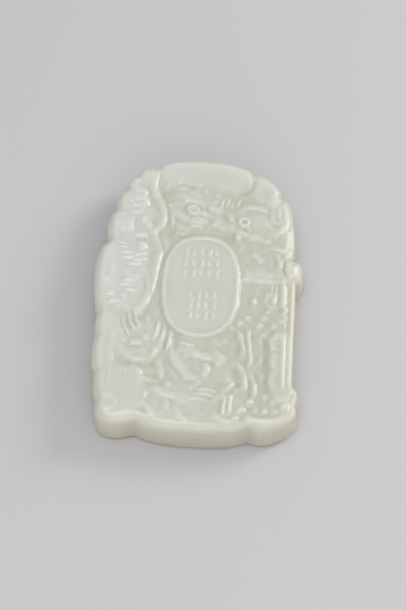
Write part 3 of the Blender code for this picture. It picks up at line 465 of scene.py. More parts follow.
# %% Cap and lobes along the top
def carve_top(face):
    """The bright turned ends of the cap and of the lobes beside it."""
    face.curve([(6.6, 21.2), (8.4, 21.8), (9.4, 23.3), (9.6, 25.8)], 1.3, -0.36, gentle=1)
    face.curve([(11.8, 18.8), (13.6, 19.5), (14.4, 20.9), (14.5, 22.6), (13.4, 24.8)],
               1.4, 0.5, gentle=2.6)
    face.curve([(13.4, 12.6), (15.2, 13.4), (16.4, 14.8), (16.8, 16.4), (16.6, 18.2), (15.8, 19.9)],
               1.6, 0.62, gentle=2)
    face.swells(0.1, ((3.5, 26.0, 3.2, 1.0), (-3.0, 25.4, 3.0, 1.2)))
    face.swells(0.16, ((-4.5, 23.7, 0.7, 0.8), (-0.8, 23.2, 0.8, 0.9), (0.4, 21.4, 0.8, 1.0),
                       (2.7, 20.9, 0.8, 1.0)))
    face.strokes((-5.6, 22.9), (-2.0, 22.3), 0.3, 1.1, -0.16)


try_out(carve_top)

# %% Billows and tufts at the left
def carve_left_clouds(face):
    """Billows of cloud down the left edge, with tufts of hair combed over them."""
    face.swells(0.12, ((-11.2, 24.4, 2.4, 2.6), (-13.4, 21.8, 2.4, 2.8), (-14.8, 18.4, 2.6, 2.8),
                       (-15.6, 14.2, 2.8, 3.2), (-16.8, 6.6, 3.2, 4.0), (-17.0, 0.6, 3.4, 4.0)))
    for start, end in (((-13.4, 25.2), (-11.6, 23.2)), ((-15.2, 21.6), (-13.2, 20.4)),
                       ((-16.8, 17.0), (-14.6, 16.4)), ((-17.8, 10.2), (-14.8, 10.4))):
        face.strokes(start, end, 0.2, 1.6, -0.16, taper=0.4)
    # the top tuft: hooked locks, with a leaf and knots under it
    face.swell(-11.8, 18.8, 2.4, 2.8, 0.14)
    face.curve([(-13.6, 20.3), (-12.3, 21.0), (-11.2, 20.7), (-11.4, 19.8)], 1.2, 0.44)
    face.curve([(-13.8, 18.9), (-12.3, 19.6), (-11.0, 19.2), (-10.8, 18.2), (-11.6, 17.6)], 1.2, 0.46)
    face.curve([(-13.6, 17.6), (-12.4, 18.0), (-11.6, 17.8)], 1.0, 0.26)
    face.strokes((-13.4, 16.5), (-11.2, 16.7), -0.2, 1.0, 0.26)
    face.swells(0.3, ((-10.9, 14.9, 0.9, 1.2), (-9.9, 13.6, 1.0, 0.9), (-13.5, 18.7, 0.7, 0.6)))
    face.curve([(-14.8, 14.8), (-14.0, 13.6), (-13.3, 11.6)], 1.7, 0.44)
    face.strokes((-13.2, 15.6), (-13.3, 12.4), 0, 0.9, 0.26)
    face.strokes((-16.6, 13.8), (-14.6, 12.0), 0.3, 1.4, 0.26)
    face.strokes((-12.4, 11.2), (-10.0, 11.2), 0.1, 1.0, 0.32)
    face.strokes((-12.4, 10.2), (-10.4, 10.3), 0, 1.2, -0.26)
    # the middle tuft under its round knot
    face.swell(-12.0, 6.8, 2.6, 2.4, 0.12)
    face.swell(-10.9, 8.9, 1.2, 1.3, 0.4)
    for start, end in (((-14.6, 7.5), (-12.4, 7.6)), ((-12.4, 7.0), (-10.2, 7.3)),
                       ((-14.4, 6.4), (-12.0, 6.6)), ((-12.6, 5.8), (-10.2, 6.1)),
                       ((-13.6, 5.2), (-10.8, 5.1))):
        face.strokes(start, end, -0.15, 0.7, 0.32, gentle=1.3)
    # the lower tuft
    face.curve([(-13.6, 3.8), (-13.2, 2.6), (-12.9, 1.6)], 1.2, 0.36)
    face.swell(-12.0, 2.2, 1.3, 0.9, 0.22)
    face.curve([(-14.4, 1.2), (-13.0, 1.5), (-11.6, 1.3)], 0.7, 0.3, gentle=1.3)
    face.curve([(-14.7, 0.4), (-13.4, 0.6), (-12.2, 0.2)], 0.7, 0.3, gentle=1.3)
    face.curve([(-13.8, -0.6), (-12.6, -0.5), (-11.7, -0.9)], 0.7, 0.28, gentle=1.3)
    face.swells(0.22, ((-16.2, 3.6, 0.9, 1.3), (-17.3, 1.5, 1.0, 0.9), (-16.0, -1.4, 1.2, 0.9),
                       (-13.8, -1.8, 1.2, 0.9)))
    face.strokes((-19.2, 0.8), (-18.5, -3.8), -0.3, 1.1, 0.3)
    face.strokes((-16.6, -3.1), (-14.2, -3.3), 0.1, 0.9, 0.24)


try_out(carve_left_clouds)

# %% [markdown]
# ## The long body
# A long body winds down from the top left corner, past the cartouche, and ends in a paw. It is one wide
# ridge with a narrower one along its back, and the claws are short tapering ridges.

# %% Body, paw and claws
def carve_long_body(face):
    """The long body that winds down from the top left, past the cartouche, to a paw."""
    face.curve([(-9.0, 25.4), (-9.3, 23.0), (-9.0, 21.0), (-7.9, 18.8), (-7.3, 16.8), (-7.2, 14.9),
                (-7.6, 13.3), (-8.6, 12.2)], 1.0, 0.54, gentle=3.0, melt=0.12)
    face.curve([(-8.9, 12.0), (-8.1, 9.8), (-7.6, 7.8), (-7.9, 5.4), (-8.3, 2.6), (-8.6, 0.2),
                (-9.2, -2.0), (-10.4, -5.2)], 1.0, 0.42, gentle=2.6, melt=0.12)
    face.strokes((-8.2, 21.2), (-8.2, 23.6), 0, 0.7, 0.2)
    face.swell(-6.3, 18.2, 0.6, 0.6, 0.3)
    face.strokes((-5.5, 13.9), (-5.7, 17.0), 0, 0.9, 0.3)
    face.curve([(-6.9, 10.4), (-6.4, 9.5), (-6.9, 8.4)], 1.0, 0.28)
    face.strokes((-9.5, 3.4), (-9.5, -1.6), 0.1, 0.7, 0.22)
    face.curve([(-10.2, -1.4), (-10.2, -3.2), (-11.2, -5.4)], 1.6, 0.2)
    # the paw's curved claws
    face.curve([(-11.6, -4.2), (-11.2, -6.4), (-10.2, -8.4)], 0.75, 0.44, gentle=1.2)
    face.curve([(-12.6, -5.2), (-12.2, -7.2), (-11.1, -9.0)], 0.75, 0.44, gentle=1.2)
    face.curve([(-13.6, -6.2), (-13.2, -8.2), (-12.3, -10.0)], 0.8, 0.4, gentle=1.2)
    face.swell(-9.0, -6.3, 0.8, 1.2, 0.24)
    # three big claws under the cartouche's left shoulder
    for x, y in ((-7.0, -6.3), (-5.9, -7.5), (-4.7, -8.8)):
        face.curve([(x, y), (x - 0.1, y - 2.4), (x - 0.8, y - 4.8)], 0.85, 0.62, gentle=1.1, melt=0.4)


try_out(carve_long_body)

# %% [markdown]
# ## Two beast heads
# Each head is a raised area with a round eye, a brow, and a few short ridges for nose, teeth and hair.
# Ridges laid close together read as hair or wrinkles once light falls across them.

# %% The left head
def carve_left_head(face):
    """The beast looking out over the cartouche: forehead, round eye, wrinkled nose and teeth."""
    face.swells(0.16, ((-2.6, 20.4, 3.4, 1.9), (-0.6, 15.0, 2.6, 2.2), (-2.0, 17.4, 1.8, 1.6)))
    face.ring(oval(-1.8, 17.4, 0.9, 0.85), 0.8, 0.42)
    face.swell(-1.8, 17.4, 0.5, 0.5, 0.16)
    face.curve([(-4.6, 19.0), (-2.6, 19.4), (-0.6, 19.1), (0.6, 18.2)], 1.1, 0.3)
    face.curve([(-5.2, 17.2), (-4.0, 16.0), (-2.4, 15.2)], 1.2, 0.3)
    face.curve([(-1.6, 16.0), (-0.2, 16.7), (1.2, 16.2)], 0.9, 0.4)
    for number, (reach, dip, height) in enumerate(((0.6, 0.3, 0.34), (0.2, 0.1, 0.3), (0.4, 0.3, 0.2))):
        y = 15.3 - 0.75 * number
        face.curve([(-2.3 - 0.3 * number, y - dip), (-1.0, y + 0.1), (reach, y - dip)], 0.65, height)
    face.strokes((-4.6, 13.4), (-2.6, 12.8), 0.15, 1.0, 0.32)
    face.strokes((-4.8, 12.4), (-3.0, 12.2), 0, 0.8, 0.24)
    face.strokes((0.9, 18.0), (3.4, 16.9), 0.25, 1.3, 0.42)
    face.strokes((-4.8, 20.6), (-2.6, 18.9), 0.3, 1.0, 0.26)
    face.swells(0.18, ((-4.1, 22.0, 1.1, 0.7), (-0.8, 20.4, 0.9, 0.7), (2.2, 19.3, 1.0, 0.8)))
    face.swells(-0.16, ((-2.1, 22.0, 0.9, 0.7), (1.4, 15.2, 1.0, 1.2), (-3.6, 17.9, 0.7, 0.7)))
    # the hair standing up between the two heads
    for number in range(4):
        x = 3.6 + 1.0 * number
        face.curve([(x - 0.2, 17.8 + 0.2 * number), (x, 19.2), (x + 0.4, 20.4)], 0.8, 0.26, gentle=1.3)
    face.strokes((5.2, 16.9), (5.5, 15.1), 0, 1.0, 0.3)
    face.curve([(1.8, 14.9), (4.0, 14.3), (6.2, 13.2)], 1.6, 0.36)


try_out(carve_left_head)

# %% The right head
def carve_right_head(face):
    """The second beast: a pitted round eye, a long brow, a jaw and a pricked ear."""
    face.swells(0.16, ((10.8, 15.4, 3.0, 2.2), (8.0, 15.2, 1.8, 1.7)))
    face.ring(oval(7.9, 15.1, 0.85, 0.8), 0.75, 0.36)
    face.swell(7.9, 15.1, 0.6, 0.6, -0.2)
    face.strokes((8.4, 14.2), (9.1, 13.1), 0.1, 0.8, 0.24)
    face.curve([(7.2, 17.2), (8.4, 18.3), (10.4, 18.4), (12.8, 17.6)], 1.1, 0.4)
    face.curve([(5.6, 13.4), (7.6, 12.7), (9.4, 12.2), (13.0, 11.8)], 0.9, 0.36)
    face.strokes((8.8, 11.6), (13.0, 11.1), 0.05, 0.7, 0.32)
    face.swell(6.8, 11.9, 0.9, 1.4, 0.42)
    face.curve([(7.2, 11.4), (7.7, 10.2), (7.4, 8.8)], 0.9, 0.24)
    face.strokes((11.6, 15.4), (13.3, 13.9), 0.2, 1.1, 0.26)
    face.strokes((13.5, 19.0), (13.4, 15.9), 0, 0.8, 0.28)
    face.strokes((14.6, 18.9), (14.5, 16.0), 0, 0.8, 0.28)
    face.curve([(13.2, 16.4), (13.6, 15.4), (14.6, 15.3), (14.8, 16.5)], 1.0, 0.28)


try_out(carve_right_head)

# %% [markdown]
# ## The cartouche and its neighbours
# The oval panel is smooth, with a thin raised rim. On the real stone it holds two characters. Here rows
# of shallow strokes that aren't letters stand in their place. Right of it are the beam, knob and column.

# %% The oval panel
def carve_cartouche(face):
    """A smooth field in a thin raised rim, with two groups of shallow strokes in rows."""
    face.level(oval(0.5, 0.9, 7.2, 10.7, power=2.5), -0.34, 1.6, dome=0.08, size=3)
    face.ring(oval(0.4, 0.9, 6.9, 10.4, power=2.5, steps=96), 1.0, 0.36)
    # rows of short upright strokes that stand apart, each a little longer or shorter than its neighbour
    apart, row_drop, half_height, change, drift = 1.45, 2.2, 0.72, 0.2, 0.15
    for middle, top, rows, count in ((0.4, 7.9, 3, 5), (0.9, -1.0, 3, 4)):
        for row in range(rows):
            for place in range(count):
                uneven = math.sin(2.3 * place + 1.9 * row + top)
                x = middle + apart * (place - (count - 1) / 2) + drift * uneven
                y = top - row_drop * row
                along = np.array((drift * uneven, half_height + change * uneven))
                face.strokes((x, y) - along, (x, y) + along, 0.1, 0.75, 0.3, gentle=1.2)


try_out(carve_cartouche)

# %% Beam, knob and column
def carve_right_side(face):
    """The beam with its knob, the column under it and the curls between."""
    face.strokes((12.8, 9.9), (17.0, 9.0), 0.15, 1.0, 0.3)
    face.curve([(13.6, 8.8), (14.6, 7.9), (15.0, 6.5), (14.7, 5.0)], 1.0, 0.4)
    face.strokes((13.4, 7.6), (13.3, 5.6), 0, 0.8, 0.16)
    face.strokes((9.6, 8.4), (11.5, 6.5), 0.25, 1.3, 0.4)
    face.strokes((7.4, 4.0), (17.4, 3.5), 0, 1.0, 0.18, melt=0.2)
    face.strokes((7.4, 2.9), (17.4, 2.5), 0, 1.0, 0.2, melt=0.2)
    face.curve([(17.4, 8.2), (16.2, 7.2), (15.8, 5.4), (16.2, 3.8), (17.4, 2.8)], 1.0, -0.34, gentle=1)
    face.strokes((17.0, 2.4), (16.9, -19.4), 0, 1.1, -0.3, gentle=1, melt=0.1)
    face.strokes((15.8, 2.6), (15.8, -3.0), 0, 1.1, 0.4, gentle=1.4, melt=0.16)
    face.curve([(16.2, -2.2), (16.5, -3.6), (15.2, -4.9)], 1.1, 0.34)
    face.curve([(16.8, -4.3), (16.3, -5.6), (14.9, -6.1)], 0.9, 0.3)
    face.swell(14.0, -1.4, 2.2, 2.8, 0.16)
    face.curve([(13.8, 0.2), (12.8, -0.9), (12.8, -2.3), (14.1, -3.2)], 1.0, 0.3)
    face.strokes((14.1, 0.0), (13.9, -2.2), 0.2, 0.9, 0.34)
    face.swell(10.3, -1.8, 0.8, 1.5, 0.32)
    face.swells(0.26, ((11.5, -6.8, 1.1, 1.0), (14.1, -6.8, 1.0, 0.9), (12.5, -5.2, 1.0, 0.9),
                       (9.3, -5.2, 1.0, 0.8), (7.9, -6.5, 1.1, 1.1), (13.1, -3.9, 0.9, 0.8),
                       (12.3, -8.9, 0.9, 0.9), (6.5, -7.4, 0.9, 0.9)))


try_out(carve_right_side)

# %% [markdown]
# ## The lower half
# Below the cartouche a coiled body, ribbons and clouds fill the ground down to a stepped base.

# %% Ribbons
def carve_ribbons(face):
    """The two ribbons that fall beside the column's clouds."""
    face.curve([(7.4, -7.6), (8.3, -9.6), (8.8, -11.6), (8.9, -13.9)], 1.1, 0.46)
    face.curve([(9.6, -7.2), (9.7, -10.0), (10.0, -12.4), (10.2, -14.2), (9.6, -16.0)],
               0.9, 0.5, gentle=1.4)
    face.curve([(7.2, -14.4), (8.5, -16.0), (9.3, -18.0), (9.2, -20.8)], 1.2, 0.56)
    face.curve([(9.6, -15.6), (10.6, -18.0), (11.2, -20.4), (10.5, -22.8)], 1.0, 0.46, gentle=1.5)
    face.strokes((12.7, -8.4), (14.0, -12.6), 0.3, 0.9, 0.26)
    face.strokes((11.7, -9.4), (11.9, -15.4), 0.2, 0.9, 0.18)
    face.swells(0.22, ((5.3, -10.4, 1.2, 1.1), (12.4, -17.6, 0.9, 1.4)))


try_out(carve_ribbons)

# %% Clouds beside the column
def carve_right_clouds(face):
    """The scallops of the cloud beside the column, and the pebbles on the base under it."""
    for x, y in ((14.5, -10.4), (14.6, -14.2), (14.4, -18.4)):
        face.curve([(x + 0.6, y + 1.9), (x - 0.3, y + 0.9), (x - 0.4, y - 0.6), (x + 0.5, y - 1.8)],
                   1.4, 0.3, gentle=1.2)
    face.strokes((16.3, -9.0), (16.3, -19.8), 0, 0.9, 0.16, gentle=1.2, melt=0.2)
    face.swells(0.32, ((13.0, -21.5, 1.0, 0.9), (14.6, -22.6, 1.0, 0.9), (13.0, -24.6, 0.9, 1.1),
                       (14.9, -24.4, 1.1, 0.9), (10.2, -22.8, 1.0, 1.2), (8.9, -24.4, 1.1, 1.3),
                       (7.9, -26.2, 1.0, 0.8), (16.4, -23.3, 1.0, 1.0), (11.4, -24.4, 0.9, 0.9)))


try_out(carve_right_clouds)

# %% Sweep of cloud and stepped rock
def carve_lower_left(face):
    """The sweep of cloud and the stepped rock in the lower left corner."""
    face.strokes((-15.2, -9.0), (-15.1, -20.6), -0.2, 1.0, 0.16, gentle=2.4)
    face.curve([(-14.9, -8.8), (-14.3, -11.6), (-12.9, -13.8), (-10.8, -15.0), (-8.2, -15.0)], 1.5, 0.4)
    face.curve([(-14.2, -7.8), (-13.6, -10.0), (-12.8, -11.6)], 1.1, 0.34)
    face.strokes((-12.0, -11.7), (-9.6, -11.6), 0.15, 1.0, 0.3)
    face.curve([(-12.6, -12.8), (-10.6, -13.5), (-8.6, -13.2)], 1.3, 0.2)
    face.swells(0.28, ((-9.2, -10.3, 1.2, 1.0), (-7.4, -13.4, 0.9, 1.4), (-4.6, -19.8, 1.2, 1.0),
                       (-8.5, -22.0, 0.8, 1.1)))
    face.strokes((-14.2, -16.0), (-7.6, -15.9), -0.3, 1.5, -0.22)
    face.curve([(-12.6, -16.3), (-10.6, -16.4), (-9.9, -17.6), (-9.8, -19.8)], 1.0, 0.2)
    face.strokes((-9.6, -18.9), (-6.6, -19.5), 0.15, 1.0, 0.32)
    face.curve([(-6.8, -14.6), (-6.2, -16.6), (-5.9, -18.8)], 1.3, 0.46)
    face.curve([(-7.6, -20.4), (-5.4, -21.6), (-2.8, -22.4)], 1.3, 0.34)
    face.curve([(-5.2, -22.8), (-4.6, -23.8), (-4.7, -25.2)], 1.1, 0.3)
    face.curve([(-9.8, -23.4), (-8.2, -24.6), (-6.6, -26.5)], 1.3, 0.34)
    face.curve([(-2.9, -24.4), (-2.2, -26.0), (-0.4, -27.3)], 1.2, 0.34)
    face.strokes((-17.6, -17.6), (-17.5, -21.0), 0, 0.8, 0.16, count=4, step=(1.1, 0.0))
    face.ring(oval(-15.4, -24.0, 1.5, 1.4), 1.0, 0.18)
    face.strokes((-17.0, -26.8), (-14.8, -26.9), 0, 0.8, 0.18)


try_out(carve_lower_left)

# %% The coiled body and the base
def carve_lower_middle(face):
    """The coiled lower body under the cartouche: a snout, swirls, a leaf, feathers and a hind claw."""
    face.swells(0.16, ((1.8, -17.0, 3.0, 2.6), (-1.4, -22.4, 3.2, 1.8), (-1.6, -12.4, 2.2, 1.8),
                       (4.0, -10.8, 2.0, 1.4)))
    face.curve([(-4.5, -9.6), (-4.4, -12.6), (-3.8, -14.8), (-2.4, -16.6), (-0.6, -18.2), (0.8, -18.7)],
               1.3, 0.46, melt=0.2)
    face.curve([(-3.2, -12.8), (-3.0, -14.6), (-1.6, -16.4)], 0.9, 0.26)
    face.strokes((-3.1, -9.8), (-0.6, -10.5), 0.1, 0.8, 0.32, count=2, step=(0.2, -1.25))
    face.curve([(-1.6, -13.4), (0.6, -13.5), (2.6, -14.0), (4.0, -14.4)], 1.5, 0.4)
    face.swell(0.2, -13.7, 1.4, 0.8, 0.26)
    face.curve([(3.0, -12.6), (4.2, -13.4), (4.6, -14.6), (4.0, -16.0)], 1.4, 0.46)
    face.curve([(4.8, -12.9), (5.5, -14.3), (5.2, -15.8)], 0.9, 0.24)
    face.curve([(1.9, -14.9), (2.4, -16.4), (2.0, -18.0)], 1.1, 0.4)
    face.curve([(-0.6, -20.8), (0.4, -19.9), (1.3, -18.8)], 1.1, 0.3)
    for quill in ([(0.3, -20.8), (2.4, -20.6), (4.6, -21.1)], [(0.1, -21.7), (2.0, -21.5), (4.2, -22.0)],
                  [(-0.4, -22.7), (1.2, -22.5), (3.0, -23.1)]):
        face.curve(quill, 0.7, 0.34, gentle=1.3)
    face.strokes((3.8, -23.0), (6.0, -21.8), 0.15, 1.1, 0.34)
    face.curve([(5.4, -17.6), (6.5, -18.9), (6.6, -19.6), (5.6, -21.2)], 1.5, 0.56)
    face.swell(7.7, -20.2, 1.0, 0.9, 0.26)
    face.strokes((6.0, -21.9), (5.6, -25.7), -0.1, 0.9, 0.6, gentle=1.3)
    face.strokes((7.0, -21.4), (6.7, -25.2), -0.1, 0.9, 0.6, gentle=1.3)
    face.curve([(4.0, -25.2), (5.1, -26.4), (7.4, -27.3)], 1.2, 0.4)


try_out(carve_lower_middle)

# %% [markdown]
# ## The finest cuts
# Hair, the grain of the rock and the hatching beside the column are cut last, with the thinnest wheel.
# They are narrower than the flat triangles of the plain solid, so only this surface has them. They could
# be a bump in the material, but real cuts catch the light at their true places and show in the mesh too.

# %% Hair, grain and hatching
THIN_WIDTH, THIN_RIDGE, THIN_GROOVE = 0.5, 0.24, -0.2


def cut_thin_lines(face):
    """The lines that are too thin for the plain solid."""
    # grain down the stepped rock
    for x, top, foot in ((-17.8, -17.7, -19.9), (-17.1, -18.1, -20.9), (-16.4, -17.9, -19.7),
                         (-15.7, -18.3, -20.3), (-13.4, -16.9, -19.4), (-12.5, -17.1, -18.9)):
        face.strokes((x, top), (x - 0.05, foot), 0.05, THIN_WIDTH, THIN_RIDGE, gentle=1.2)
    # fine locks beside the leaf, in the beast's mane and under the middle tuft, and the column's pleats
    for start, end, bow, count, step in (((-17.2, 13.6), (-15.9, 11.9), 0.25, 3, (0.7, 0.4)),
                                         ((-15.6, -2.3), (-13.4, -3.3), 0.25, 3, (0.1, -0.75)),
                                         ((-15.4, 9.4), (-13.4, 9.0), 0.2, 2, (0.1, -0.75)),
                                         ((-5.9, 15.2), (-5.5, 12.4), 0.2, 2, (0.8, -0.3)),
                                         ((13.6, 1.9), (13.6, -0.4), 0.0, 2, (0.8, 0.0))):
        face.strokes(start, end, bow, THIN_WIDTH, THIN_RIDGE, count, step, gentle=1.2)
    # crossed hatching on the cloud beside the column
    for start, end in (((14.2, -8.9), (15.5, -10.1)), ((15.5, -8.9), (14.2, -10.1))):
        face.strokes(start, end, 0.0, THIN_WIDTH, THIN_GROOVE, 5, (0.0, -0.8), gentle=1.1)


try_out(cut_thin_lines)

# %% [markdown]
# ## From drawing to stone
# All areas are carved in turn into one depth map. The stone was a flat slab before it was carved, so the
# highest forms are worn down softly to the slab's face instead of standing above it.

# %% The whole depth map
LUMP_HEIGHT = 0.06
CARVERS = (lay_masses, carve_top, carve_left_clouds, carve_lower_left, carve_lower_middle,
           carve_long_body, carve_left_head, carve_right_head, carve_cartouche, carve_right_clouds,
           carve_ribbons, carve_right_side, cut_thin_lines)


def carved_height(x, y):
    """The height of the whole carving over the face, in millimetres, at places on the sheet."""
    face = Relief(x, y, ground=-RELIEF_DEPTH)
    for carve in CARVERS:
        carve(face)
    face.uneven(LUMP_HEIGHT)
    return face.worn_to_face()


print("Depth at the middle:", float(carved_height(np.zeros(1), np.zeros(1))[0]), "mm")

# %% [markdown]
# ## The net of the face
# The surface needs an even net of small triangles that follows the lobed outline exactly. A grid
# operator gives a rectangle, and filling the outline gives long splinters. Blender's own Delaunay
# function fills an outline through any set of places, so it gets the outline, a few rings inside it
# where the edge rolls over, and an even grid in the middle.

# %% Places for the net
SPACING = 0.18
ROLL_IN, ROLL_DOWN = 1.9, 2.6
RING_CLEAR = 0.97


def face_places(outline):
    """The outline, rings just inside it where the face rolls over, and an even grid in the middle."""
    inward = inward_of(outline)
    rings = []
    count = round(ROLL_IN * math.pi / 2 / SPACING)
    for number in range(1, count + 1):
        inset = ROLL_IN * (1 - math.cos(number / count * math.pi / 2))
        ring = outline + inward * inset
        # beside a notch a ring comes too near the outline and loses those places
        distance, _, _ = nearest(outline, ring[:, 0], ring[:, 1], closed=True)
        rings.append(ring[distance > inset * RING_CLEAR])
    (x0, y0), (x1, y1) = outline.min(0), outline.max(0)
    across, along = np.arange(x0, x1, SPACING), np.arange(y0, y1, SPACING)
    x, y = (values.ravel() for values in np.meshgrid(across, along))
    distance, _, _ = nearest(outline, x, y, closed=True)
    middle = is_inside(outline, x, y) & (distance > ROLL_IN + SPACING / 2)
    return np.concatenate([outline, *rings, np.stack([x[middle], y[middle]], 1)])


outline = lobed_outline(SPACING)
places = face_places(outline)
print(len(places), "places on the face")

# %% [markdown]
# ## Rolling the edge
# A polished slab has no sharp rim: the face rolls over into the side wall, which leans out a little to
# its widest line and then rounds under to the flat back. Near the outline each place of the face drops
# along an arc and moves in by the wall's lean. Only the column at the right has a crisp bevel instead of
# the arc, which is what draws the bright band along it.

# %% Lay the drawing on the stone
WALL_LEAN, LEAN_REACH, EDGE_BARE = 0.3, 3.5, 1.0
COLUMN_WIDTH, COLUMN_TILT, COLUMN_EDGE = 1.1, 0.5, 0.5
COLUMN_ENDS, COLUMN_FADE, COLUMN_FROM = (-19.7, 3.2), 1.5, 15.5
ONLY_INSIDE, WELD = 1, 1e-6
sheet_low, sheet_high = outline.min(0), outline.max(0)


def quarter_round(inset, reach, depth):
    """The drop of an edge that starts to round at this reach and has fallen by its depth at the outline."""
    return depth * (1 - np.sqrt(1 - np.clip(1 - inset / reach, 0, 1) ** 2))


def rolled_edge(x, y, inset):
    """How far, in millimetres, the face has rolled down at a distance in from the outline."""
    rolled = quarter_round(inset, ROLL_IN, ROLL_DOWN)
    bevelled = COLUMN_TILT * np.clip(COLUMN_WIDTH - inset, 0, None)
    bevelled += quarter_round(inset, COLUMN_EDGE, COLUMN_EDGE)
    low, high = COLUMN_ENDS
    on_column = eased(x - COLUMN_FROM) * eased((y - low) / COLUMN_FADE) * eased((high - y) / COLUMN_FADE)
    return rolled + (bevelled - rolled) * on_column


def drawn_in(outline, inward, distance, share, lean, reach):
    """The move that draws the face in from the widest line: all of the lean at the outline and none
    past the reach."""
    index = np.round(share * len(outline)).astype(int) % len(outline)
    return inward[index] * (lean * eased(1 - distance / reach))[:, None]


def laid(spots):
    """Places on the sheet, in metres on the stone."""
    return (spots - (sheet_high + sheet_low) / 2) * (WIDTH, LENGTH) / (sheet_high - sheet_low)


def face_net():
    """The carved face as a bmesh, whose first vertices are the outline's."""
    loop = [(number, (number + 1) % len(outline)) for number in range(len(outline))]
    spots = [Vector(spot) for spot in places]
    points, _, faces, _, _, _ = delaunay_2d_cdt(spots, loop, [], ONLY_INSIDE, WELD)
    sheet = np.array([tuple(point) for point in points])
    distance, share, _ = nearest(outline, sheet[:, 0], sheet[:, 1], closed=True)
    drop = rolled_edge(sheet[:, 0], sheet[:, 1], distance)
    height = THICKNESS + (carved_height(sheet[:, 0], sheet[:, 1]) * eased(distance / EDGE_BARE) - drop) * MM
    spots = laid(sheet + drawn_in(outline, inward_of(outline), distance, share, WALL_LEAN, LEAN_REACH))
    net = bmesh.new()
    for (x, y), z in zip(spots, height):
        net.verts.new((x, y, z))
    net.verts.ensure_lookup_table()
    for face in faces:
        net.faces.new([net.verts[index] for index in face])
    return net


net = face_net()
print("Face:", len(net.faces), "triangles")

# %% [markdown]
# ## Side wall and back
# The face is open along the outline. From there the side goes down ring by ring, each at its own inset
# and height: first the leaning wall, then the round to the back. The open edge could be extruded, but
# rings made from the outline keep their points in a known order. One last face closes the back, which
# is flat and plain, as the polished back of such a plaque is.

# %% Build the side and close the back
WIDEST_HEIGHT, BACK_ROUND_IN, SIDE_STEPS = 1.9, 0.9, 6


def side_rows():
    """(inset, height) in millimetres down the side."""
    top = THICKNESS / MM - ROLL_DOWN
    for number in range(1, SIDE_STEPS + 1):
        share = number / SIDE_STEPS
        yield WALL_LEAN * (1 - math.sin(share * math.pi / 2)), top + (WIDEST_HEIGHT - top) * share
    for number in range(1, SIDE_STEPS + 1):
        angle = number / SIDE_STEPS * math.pi / 2
        yield BACK_ROUND_IN * (1 - math.cos(angle)), WIDEST_HEIGHT * (1 - math.sin(angle))


def close_stone(net):
    """Adds the side to the face, ring by ring, and then the back."""
    inward = inward_of(outline)
    rim = net.verts[:len(outline)]
    for inset, height in side_rows():
        lower = [net.verts.new((x, y, height * MM)) for x, y in laid(outline + inward * inset)]
        for number in range(len(rim)):
            net.faces.new((rim[number - 1], rim[number], lower[number], lower[number - 1]))
        rim = lower
    net.faces.new(rim)
    bmesh.ops.recalc_face_normals(net, faces=net.faces)


close_stone(net)
stone_mesh = bpy.data.meshes.new("carved_plaque")
net.to_mesh(stone_mesh)
net.free()
stone_mesh.shade_smooth()
plaque = bpy.data.objects.new("carved_plaque", stone_mesh)
bpy.context.collection.objects.link(plaque)
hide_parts("jade_plaque")
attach(plaque, "root")
stone_mesh.calc_loop_triangles()
print("Stone:", len(stone_mesh.loop_triangles), "triangles")

# %% [markdown]
# ## The jade
# White nephrite is never one flat colour. Felted fibres make faint cloudy patches, milky in one place
# and a little greener in another, and light goes a few millimetres into it, which softens every shadow.
# Painted shade makes the low ground between the carved forms darker and greener, and painted shade makes
# the side wall darker and warmer towards the back, so the group also reads the height in the object's own
# coordinates and turns it into two soft masks. The stone also turns a little greener towards the right and
# the bottom. It is a node group so that it could be used on other jade too. The light inside the stone is
# the Principled shader's own subsurface scattering, with its depth in real millimetres.

# %% Node group: cloudy stone with painted shade
CLOUD_DETAIL, CLOUD_RANGE = 1.5, (0.25, 0.75)
RECESS_SHADE_SHARE, CLOUD_SHARE, GREEN_RANGE = 0.6, 0.4, (-0.3, 1.1)


